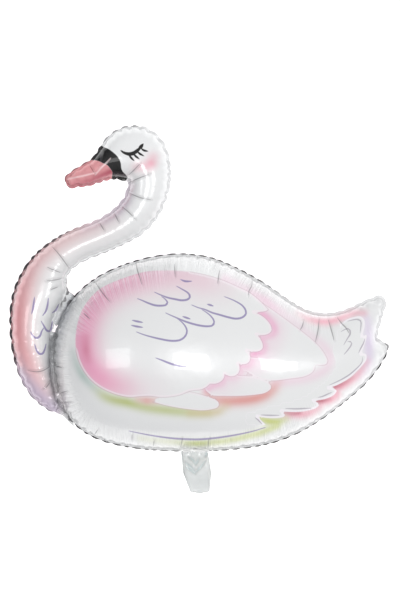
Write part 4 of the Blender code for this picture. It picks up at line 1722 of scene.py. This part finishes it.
@dataclass(frozen=True)
class PearlFoil:
    """Printed pearl film with a metallic shine."""

    grain: bpy.types.NodeTree
    metallic: float = 0.15
    coat: float = 0.9
    coat_roughness: float = 0.04
    specular: float = 0.12
    grain_scale: float = 27.0
    grain_height: float = 0.45
    rib_height: float = 0.5
    ribs_per_metre: float = 310.0
    rib_shine: float = 1.5
    fine_edge: float = 0.20
    relief: float = 0.0022
    relief_share: float = 0.8

    def build(self) -> bpy.types.Material:
        """Makes the material.

        Returns:
            The printed film's material.
        """
        material = bpy.data.materials.new("printed_pearl_foil")
        material.use_nodes = True
        chain = NodeChain(material.node_tree)
        shader = material.node_tree.nodes["Principled BSDF"]
        shader.inputs["Metallic"].default_value = self.metallic
        shader.inputs["Coat Weight"].default_value = self.coat
        shader.inputs["Coat Roughness"].default_value = self.coat_roughness
        shader.inputs["Specular IOR Level"].default_value = self.specular
        colour = self.layers(chain)
        chain.join(colour, shader.inputs["Base Color"])
        grain = chain.add("ShaderNodeGroup", node_tree=self.grain)
        grain.inputs["Scale"].default_value = self.grain_scale
        rough = chain.ramp(grain.outputs["Dulling"], (0.0, 1.0, 0.28, 0.38))
        chain.join(rough, shader.inputs["Roughness"])
        folds = chain.maths("MAXIMUM", pen_depth(chain, FOLD_PEN), pen_depth(chain, BILL_PEN))
        crease = chain.ramp(folds, (-0.6, 0.1, 0.0, -1.0))
        ridge = chain.ramp(pen_depth(chain, RIDGE_PEN), (-0.8, 0.05, 0.0, 1.1))
        crease = chain.maths("ADD", crease, ridge)
        waves = chain.maths("MULTIPLY", grain.outputs["Height"], self.grain_height)
        height = chain.maths("ADD", crease, waves)
        height = chain.maths("ADD", height, self.ribs(chain))
        bump = chain.add("ShaderNodeBump")
        bump.inputs["Distance"].default_value = self.relief
        bump.inputs["Strength"].default_value = self.relief_share
        chain.join(height, bump.inputs["Height"])
        chain.join(bump.outputs["Normal"], shader.inputs["Normal"])
        return material

    def ribs(self, chain: NodeChain) -> bpy.types.NodeSocket:
        """Makes the fine ribs that run into the film from its seam.

        Args:
            chain: The material's nodes.

        Returns:
            Their height.
        """
        noise = chain.add("ShaderNodeTexNoise", noise_dimensions="1D")
        noise.inputs["Scale"].default_value = self.ribs_per_metre
        noise.inputs["Detail"].default_value = 1.0
        chain.join(chain.attribute("rim_along"), noise.inputs["W"])
        wave = chain.ramp(noise.outputs["Fac"], (0.4, 0.6, 0.0, 1.0))
        share = chain.maths("MULTIPLY", chain.attribute("rim_ribs"), self.rib_height)
        return chain.maths("MULTIPLY", wave, share)

    def layers(self, chain: NodeChain) -> bpy.types.NodeSocket:
        """Lays the print's layers over each other, with painted shade in the creases, the bill's
        folds and at the rim, and painted highlights on the bill's ridge and the wing's ribs.

        Args:
            chain: The material's nodes.

        Returns:
            The finished colour.
        """
        fine = self.fine_edge

        def within(name: str) -> bpy.types.NodeSocket:
            """Share of a printed area at a point."""
            return chain.ramp(chain.attribute("edge_" + name), (-fine / 2, fine / 2, 1.0, 0.0))

        def inked(pen: Pen, share: float) -> bpy.types.NodeSocket:
            """Share of a pen's line at a point, print or painted shade in a crease."""
            return chain.ramp(pen_depth(chain, pen), (-fine / 2, fine / 2, 0.0, share))

        def beside(name: str, low: float, high: float, share: float) -> bpy.types.NodeSocket:
            """Share of a thin line that lies along an area's edge.

            Args:
                name: The area's name.
                low: Where the line starts, in percent from the edge.
                high: Where it ends.
                share: How strong it is.

            Returns:
                The share at a point.
            """
            value = chain.attribute("line_" + name)
            rise = chain.ramp(value, (low - fine / 2, low + fine / 2, 0.0, share))
            fall = chain.ramp(value, (high - fine / 2, high + fine / 2, 1.0, 0.0))
            return chain.maths("MULTIPLY", rise, fall)

        def ink(display: tuple) -> tuple:
            """Amounts of light of a display colour."""
            return tuple(float(v) for v in to_light(display))

        pale = ink(PALE_LINE)
        # The film layer holds the print and also painted light and shade: the brighter head and
        # back, the groove's shade, the neck's lit rim band and its maroon rim shade.
        colour = chain.attribute("print_film", True)
        colour = chain.mix(within("tail_feathers"), colour, ink(WHITE))
        colour = chain.mix(beside("tail_feathers", -0.45, 0.0, 0.8), colour, ink(TAIL_LINE))
        colour = chain.mix(inked(QUILL_PEN, 0.6), colour, ink(QUILL_INK))
        colour = chain.mix(within("feathers"), colour, chain.attribute("print_feather", True))
        colour = chain.mix(beside("feathers", -0.4, -0.05, 0.5), colour, pale)
        colour = chain.mix(beside("feathers", 0.0, 0.2, 0.35), colour, ink(FEATHER_LINE))
        lit = chain.maths("MULTIPLY", self.ribs(chain), self.rib_shine)
        wing = chain.mix(lit, chain.attribute("print_wing", True), ink(RIB_LIGHT))
        colour = chain.mix(within("wing"), colour, wing)
        colour = chain.mix(beside("wing", -0.45, -0.05, 0.75), colour, pale)
        colour = chain.mix(beside("wing", 0.0, 0.2, 0.35), colour, ink(WING_LINE))
        colour = chain.mix(within("bill"), colour, chain.attribute("print_bill", True))
        colour = chain.mix(inked(PLUME_PEN, 0.9), colour, ink(PLUME_INK))
        colour = chain.mix(within("face_patch"), colour, ink(BLACK_INK))
        for pen in (LID_PEN, LASH_PEN):
            colour = chain.mix(inked(pen, 1.0), colour, ink(BLACK_INK))
        # Painted shade: the bill's folds are darkened in the colour as well as bumped.
        colour = chain.mix(inked(BILL_PEN, 0.6), colour, ink(BILL_FOLD_SHADE))
        # Painted highlight: a paler streak along the bill's raised ridge.
        ridge_highlight = chain.ramp(pen_depth(chain, RIDGE_PEN), (-0.3, 0.1, 0.0, 0.55))
        colour = chain.mix(ridge_highlight, colour, ink(RIDGE_LIGHT))
        # Painted shade: the creases are darkened in the colour as well as bumped.
        colour = chain.mix(inked(FOLD_PEN, 0.6), colour, ink(FOLD_SHADE_GREY))
        # Painted shade: dark dashes on the crimps' crowns at the film's cut edge.
        lens = chain.maths("MULTIPLY", chain.attribute("rim_crown"), 0.36)
        inward = chain.maths("SUBTRACT", chain.attribute("rim_gap"), lens)
        fold = chain.ramp(inward, (-0.06, 0.08, 1.0, 0.0))
        dash = chain.maths("MULTIPLY", fold, chain.attribute("edge_shadow"))
        return chain.mix(dash, colour, ink(RIM_DASH_SHADE))


@dataclass(frozen=True)
class ClearFilm:
    """The unprinted, greyish film of the filling tail."""

    grain: bpy.types.NodeTree
    colour: tuple = (0.68, 0.71, 0.71)
    dull_colour: tuple = (0.78, 0.80, 0.80)
    fold_shade_colour: tuple = (0.38, 0.52, 0.54)
    alpha: float = 0.62
    coat: float = 0.6
    grain_scale: float = 55.0
    relief: float = 0.002

    def build(self) -> bpy.types.Material:
        """Makes the material.

        Returns:
            The filling tail's material.
        """
        material = bpy.data.materials.new("clear_film")
        material.use_nodes = True
        chain = NodeChain(material.node_tree)
        shader = material.node_tree.nodes["Principled BSDF"]
        shader.inputs["Alpha"].default_value = self.alpha
        shader.inputs["Coat Weight"].default_value = self.coat
        grain = chain.add("ShaderNodeGroup", node_tree=self.grain)
        grain.inputs["Scale"].default_value = self.grain_scale
        folds = pen_depth(chain, TAIL_PEN)
        tint = chain.mix(grain.outputs["Dulling"], self.colour, self.dull_colour)
        # Painted shade: the folds are darker in the colour as well as bumped.
        tint = chain.mix(chain.ramp(folds, (-0.25, 0.2, 0.0, 0.6)), tint, self.fold_shade_colour)
        chain.join(tint, shader.inputs["Base Color"])
        rough = chain.ramp(grain.outputs["Dulling"], (0.0, 1.0, 0.12, 0.25))
        chain.join(rough, shader.inputs["Roughness"])
        bump = chain.add("ShaderNodeBump")
        bump.inputs["Distance"].default_value = self.relief
        crease = chain.ramp(folds, (-0.5, 0.1, 0.0, -1.2))
        chain.join(chain.maths("ADD", crease, grain.outputs["Height"]), bump.inputs["Height"])
        chain.join(bump.outputs["Normal"], shader.inputs["Normal"])
        return material


@dataclass
class FoilEnvelope:
    """The whole sealed envelope with its print."""

    sizes: FilmSizes = field(default_factory=FilmSizes)
    gas: GasRun = field(default_factory=GasRun)
    picture: PrintedPicture = field(default_factory=PrintedPicture)
    name: str = "balloon_film"
    breast_end: float = 0.11
    breast_rise: tuple = (0.18, 0.47)
    breast_dash: float = 1.8  # how much wider the rim's dashes are there
    end_share: float = 0.85  # part of the box's half inside which nothing is drawn in

    def place(self, points: np.ndarray) -> np.ndarray:
        """Moves points from the film's own plan to the frame.

        Args:
            points: Points around the seam's plane.

        Returns:
            The points where the balloon lies.
        """
        moved = points.copy()
        moved[:, :2] -= np.array(self.sizes.centre)
        moved[:, 2] += self.sizes.seam_height
        return moved

    def fit(self, points: np.ndarray) -> np.ndarray:
        """Keeps points inside the CAD box, pressed flat on the floor.

        Args:
            points: Points of the lying balloon.

        Returns:
            The points inside the box.
        """
        moved = points.copy()
        low, high = CAD_BOX
        for axis, side in ((0, -1), (0, 1), (1, -1), (1, 1)):
            limit = high[axis]
            start = self.end_share * limit
            far = (moved[:, axis] * side).max()
            if far > limit:
                end = moved[:, axis] * side > start
                over = moved[end, axis] * side - start
                moved[end, axis] = side * (start + over * (limit - start) / (far - start))
        moved[:, 2] = np.clip(moved[:, 2], low[2], None)
        tall = (moved[:, 2].max() - self.sizes.seam_height) / (high[2] - self.sizes.seam_height)
        above = moved[:, 2] > self.sizes.seam_height
        over = moved[above, 2] - self.sizes.seam_height
        moved[above, 2] = self.sizes.seam_height + over / max(tall, 1.0)
        return moved

    def seen_plan(self, top: np.ndarray, bottom: np.ndarray) -> np.ndarray:
        """Finds where the camera sees each point against the seam's plane.

        Args:
            top: The upper sheet's points.
            bottom: The lower sheet's points, seen in the same way from below.

        Returns:
            The seen places, upper sheet first.
        """
        seen = np.vstack([top, bottom])
        eye = np.array(Studio.aim) + np.array(self.sizes.centre)
        far = Studio.camera_height - self.sizes.seam_height
        scale = far / (far - np.abs(seen[:, 2]))
        seen[:, :2] = eye + (seen[:, :2] - eye) * scale[:, None]
        seen[:, 2] = 0.0
        return seen

    def build(self) -> bpy.types.Object:
        """Makes the envelope's mesh and dresses it.

        Returns:
            The finished object.
        """
        net = FilmNet(self.sizes)
        log.info("net: %d points, %d triangles", len(net.flat), len(net.triangles))
        inflation = Inflation(net, self.sizes, self.gas)
        top, bottom = inflation.inflate()
        wall = self.rim_wall(net)
        faces = np.vstack([net.triangles, net.triangles[:, ::-1] + len(net.flat), wall])
        points = self.place(np.vstack([top, bottom]))
        mesh = bpy.data.meshes.new(self.name)
        mesh.from_pydata(points.tolist(), [], faces.tolist())
        plan_field = mesh.attributes.new("plan", "FLOAT_VECTOR", "POINT")
        plan_field.data.foreach_set("vector", self.seen_plan(top, bottom).ravel())
        self.rim_fields(mesh, inflation)
        clear = (net.label == Lobe.FLAT.value) & (net.flat[net.triangles].mean(1)[:, 1] < -0.001)
        index = np.concatenate([clear, clear, np.zeros(len(wall), bool)]).astype(np.int32)
        balloon = bpy.data.objects.new(self.name, mesh)
        bpy.context.scene.collection.objects.link(balloon)
        grain = film_grain_group()
        mesh.materials.append(PearlFoil(grain).build())
        mesh.materials.append(ClearFilm(grain).build())
        mesh.polygons.foreach_set("material_index", index)
        self.refine(balloon)
        self.print_fields(balloon.data)
        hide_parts("foil_envelope")
        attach(balloon, "root")
        return balloon

    def rim_wall(self, net: FilmNet) -> np.ndarray:
        """Joins the two sheets along the film's cut edge.

        Args:
            net: The flat net.

        Returns:
            The triangles of the thin wall.
        """
        count = len(net.flat)
        corners = net.triangles[:, [0, 1, 1, 2, 2, 0]].reshape(-1, 2)
        codes = corners[:, 0] * count + corners[:, 1]
        backwards = corners[:, 1] * count + corners[:, 0]
        rim = corners[~np.isin(codes, backwards)]
        lower = np.column_stack([rim[:, 1], rim[:, 0], rim[:, 0] + count])
        upper = np.column_stack([rim[:, 1], rim[:, 0] + count, rim[:, 1] + count])
        return np.vstack([lower, upper])

    def rim_fields(self, mesh: bpy.types.Mesh, inflation: Inflation) -> None:
        """Writes where the rim, its crimps and its ribs are.

        Args:
            mesh: The envelope's mesh.
            inflation: The filled balloon.
        """
        net = inflation.net
        x, y = net.flat.T
        cuts = [segment_distance(net.flat, loop, True)[0] for loop in (net.edge, net.tail)]
        breast = (x < self.breast_end) & (y > self.breast_rise[0]) & (y < self.breast_rise[1])
        wide = np.where(breast, self.breast_dash, 1.0)
        for name, values in (
            ("rim_gap", np.minimum(*cuts) / (PERCENT * self.sizes.length)),
            ("rim_crown", smooth_step(inflation.crown, -0.95, 0.3) * wide),
            ("rim_along", inflation.along),
            ("rim_ribs", inflation.ribs()),
        ):
            layer = mesh.attributes.new(name, "FLOAT", "POINT")
            layer.data.foreach_set("value", np.tile(values, 2).astype(np.float32))

    def refine(self, balloon: bpy.types.Object) -> None:
        """Halves the sides of the film's triangles once, in a smooth way.

        Args:
            balloon: The envelope.
        """
        bpy.ops.object.select_all(action="DESELECT")
        bpy.context.view_layer.objects.active = balloon
        balloon.select_set(True)
        balloon.data.shade_smooth()
        bpy.ops.object.mode_set(mode="EDIT")
        bpy.ops.mesh.select_all(action="SELECT")
        bpy.ops.mesh.subdivide(number_cuts=1, smoothness=0.9)
        bpy.ops.object.mode_set(mode="OBJECT")
        balloon.data.shade_smooth()
        raw = np.empty(3 * len(balloon.data.vertices), np.float32)
        balloon.data.vertices.foreach_get("co", raw)
        points = self.fit(raw.reshape(-1, 3).astype(float))
        balloon.data.vertices.foreach_set("co", points.astype(np.float32).ravel())
        balloon.data.update()

    def print_fields(self, mesh: bpy.types.Mesh) -> None:
        """Writes the fields of the print and of its painted shade and highlights to the mesh.

        Args:
            mesh: The envelope's mesh.
        """
        raw = np.empty(3 * len(mesh.vertices), np.float32)
        mesh.attributes["plan"].data.foreach_get("vector", raw)
        where = raw.reshape(-1, 3)[:, :2].astype(float) / (PERCENT * self.sizes.length)
        for name, values in self.picture.edges(where).items():
            layer = mesh.attributes.new(name, "FLOAT", "POINT")
            layer.data.foreach_set("value", values.astype(np.float32))
        for name, rows in self.picture.colours(where).items():
            layer = mesh.attributes.new(name, "FLOAT_COLOR", "POINT")
            full = np.column_stack([rows, np.ones(len(rows))])
            layer.data.foreach_set("color", full.astype(np.float32).ravel())


@dataclass(frozen=True)
class Softbox:
    """A square lamp that hangs over the balloon."""

    name: str
    spot: tuple
    aim: tuple
    side: float
    power: float

    def hang(self) -> None:
        """Adds the lamp to the scene."""
        lamp = bpy.data.lights.new(self.name, "AREA")
        lamp.shape = "RECTANGLE"
        lamp.size = lamp.size_y = self.side
        lamp.energy = self.power
        holder = bpy.data.objects.new(self.name, lamp)
        holder.location = self.spot
        turn = (Vector(self.aim) - Vector(self.spot)).to_track_quat("-Z", "Y")
        holder.rotation_euler = turn.to_euler()
        bpy.context.scene.collection.objects.link(holder)


@dataclass
class Studio:
    """Floor, lights and the camera over the balloon."""

    frame_metres: float = 1.2565
    camera_height: float = 6.0
    aim: tuple = (0.00297, 0.01868)
    sensor: float = 36.0
    sky_strength: float = 0.81
    sky_lean: tuple = (0.5, 0.14)
    sky_rise: tuple = (-0.35, 0.5)
    sky_low: tuple = (0.30, 0.31, 0.33)
    sky_high: tuple = (0.98, 0.98, 0.99)
    floor_glow: float = 0.5
    softboxes: tuple = (
        Softbox("left_softbox", (-1.85, -0.18, 2.73), (-0.165, -0.10, 0.25), 0.85, 5.5),
        Softbox("middle_softbox", (-0.01, -0.32, 3.26), (-0.01, -0.11, 0.265), 0.75, 11.0),
        Softbox("right_softbox", (1.61, -0.15, 2.85), (0.17, -0.115, 0.24), 0.65, 9.0),
    )

    def build(self) -> None:
        """Sets up the floor, the lights and the camera."""
        bpy.ops.object.select_all(action="DESELECT")
        bpy.ops.mesh.primitive_plane_add(size=14.0, location=(0, 0, -0.0005))
        floor = bpy.context.object
        floor.name = "studio_floor"
        paint = bpy.data.materials.new("pale_floor")
        paint.use_nodes = True
        shader = paint.node_tree.nodes["Principled BSDF"]
        shader.inputs["Base Color"].default_value = (0.93, 0.93, 0.93, 1.0)
        shader.inputs["Roughness"].default_value = 0.9
        shader.inputs["Emission Color"].default_value = (1.0, 1.0, 1.0, 1.0)
        shader.inputs["Emission Strength"].default_value = self.floor_glow
        floor.data.materials.append(paint)
        for softbox in self.softboxes:
            softbox.hang()
        self.sky()
        bpy.context.scene.view_settings.view_transform = "Standard"
        self.camera()

    def sky(self) -> None:
        """Surrounds the table with white walls that darken towards the floor."""
        world = bpy.data.worlds.new("studio_world")
        bpy.context.scene.world = world
        world.use_nodes = True
        chain = NodeChain(world.node_tree)
        place = chain.add("ShaderNodeTexCoord")
        split = chain.add("ShaderNodeSeparateXYZ")
        chain.join(place.outputs["Generated"], split.inputs["Vector"])
        across, along = self.sky_lean
        lean = chain.maths("MULTIPLY", split.outputs["X"], across)
        lean = chain.maths("ADD", lean, chain.maths("MULTIPLY", split.outputs["Y"], along))
        height = chain.maths("ADD", split.outputs["Z"], lean)
        level = chain.ramp(height, (*self.sky_rise, 0.0, 1.0))
        shade = chain.mix(level, self.sky_low, self.sky_high)
        sky = world.node_tree.nodes["Background"]
        chain.join(shade, sky.inputs["Color"])
        sky.inputs["Strength"].default_value = self.sky_strength

    def camera(self) -> None:
        """Hangs the camera straight over the balloon, with the photograph's frame."""
        lens = bpy.data.cameras.new("photo_camera")
        lens.sensor_fit = "AUTO"
        lens.sensor_width = self.sensor
        height = self.camera_height
        seam = FilmSizes().seam_height
        lens.lens = self.sensor * (height - seam) / self.frame_metres
        eye = bpy.data.objects.new("photo_camera", lens)
        eye.location = (*self.aim, height)
        bpy.context.scene.collection.objects.link(eye)
        bpy.context.scene.camera = eye


def main() -> None:
    """Builds the balloon and its studio."""
    logging.basicConfig(level=logging.INFO)
    balloon = FoilEnvelope().build()
    log.info("%s: %d faces", balloon.name, len(balloon.data.polygons))
    Studio().build()


if __name__ == "__main__":
    main()
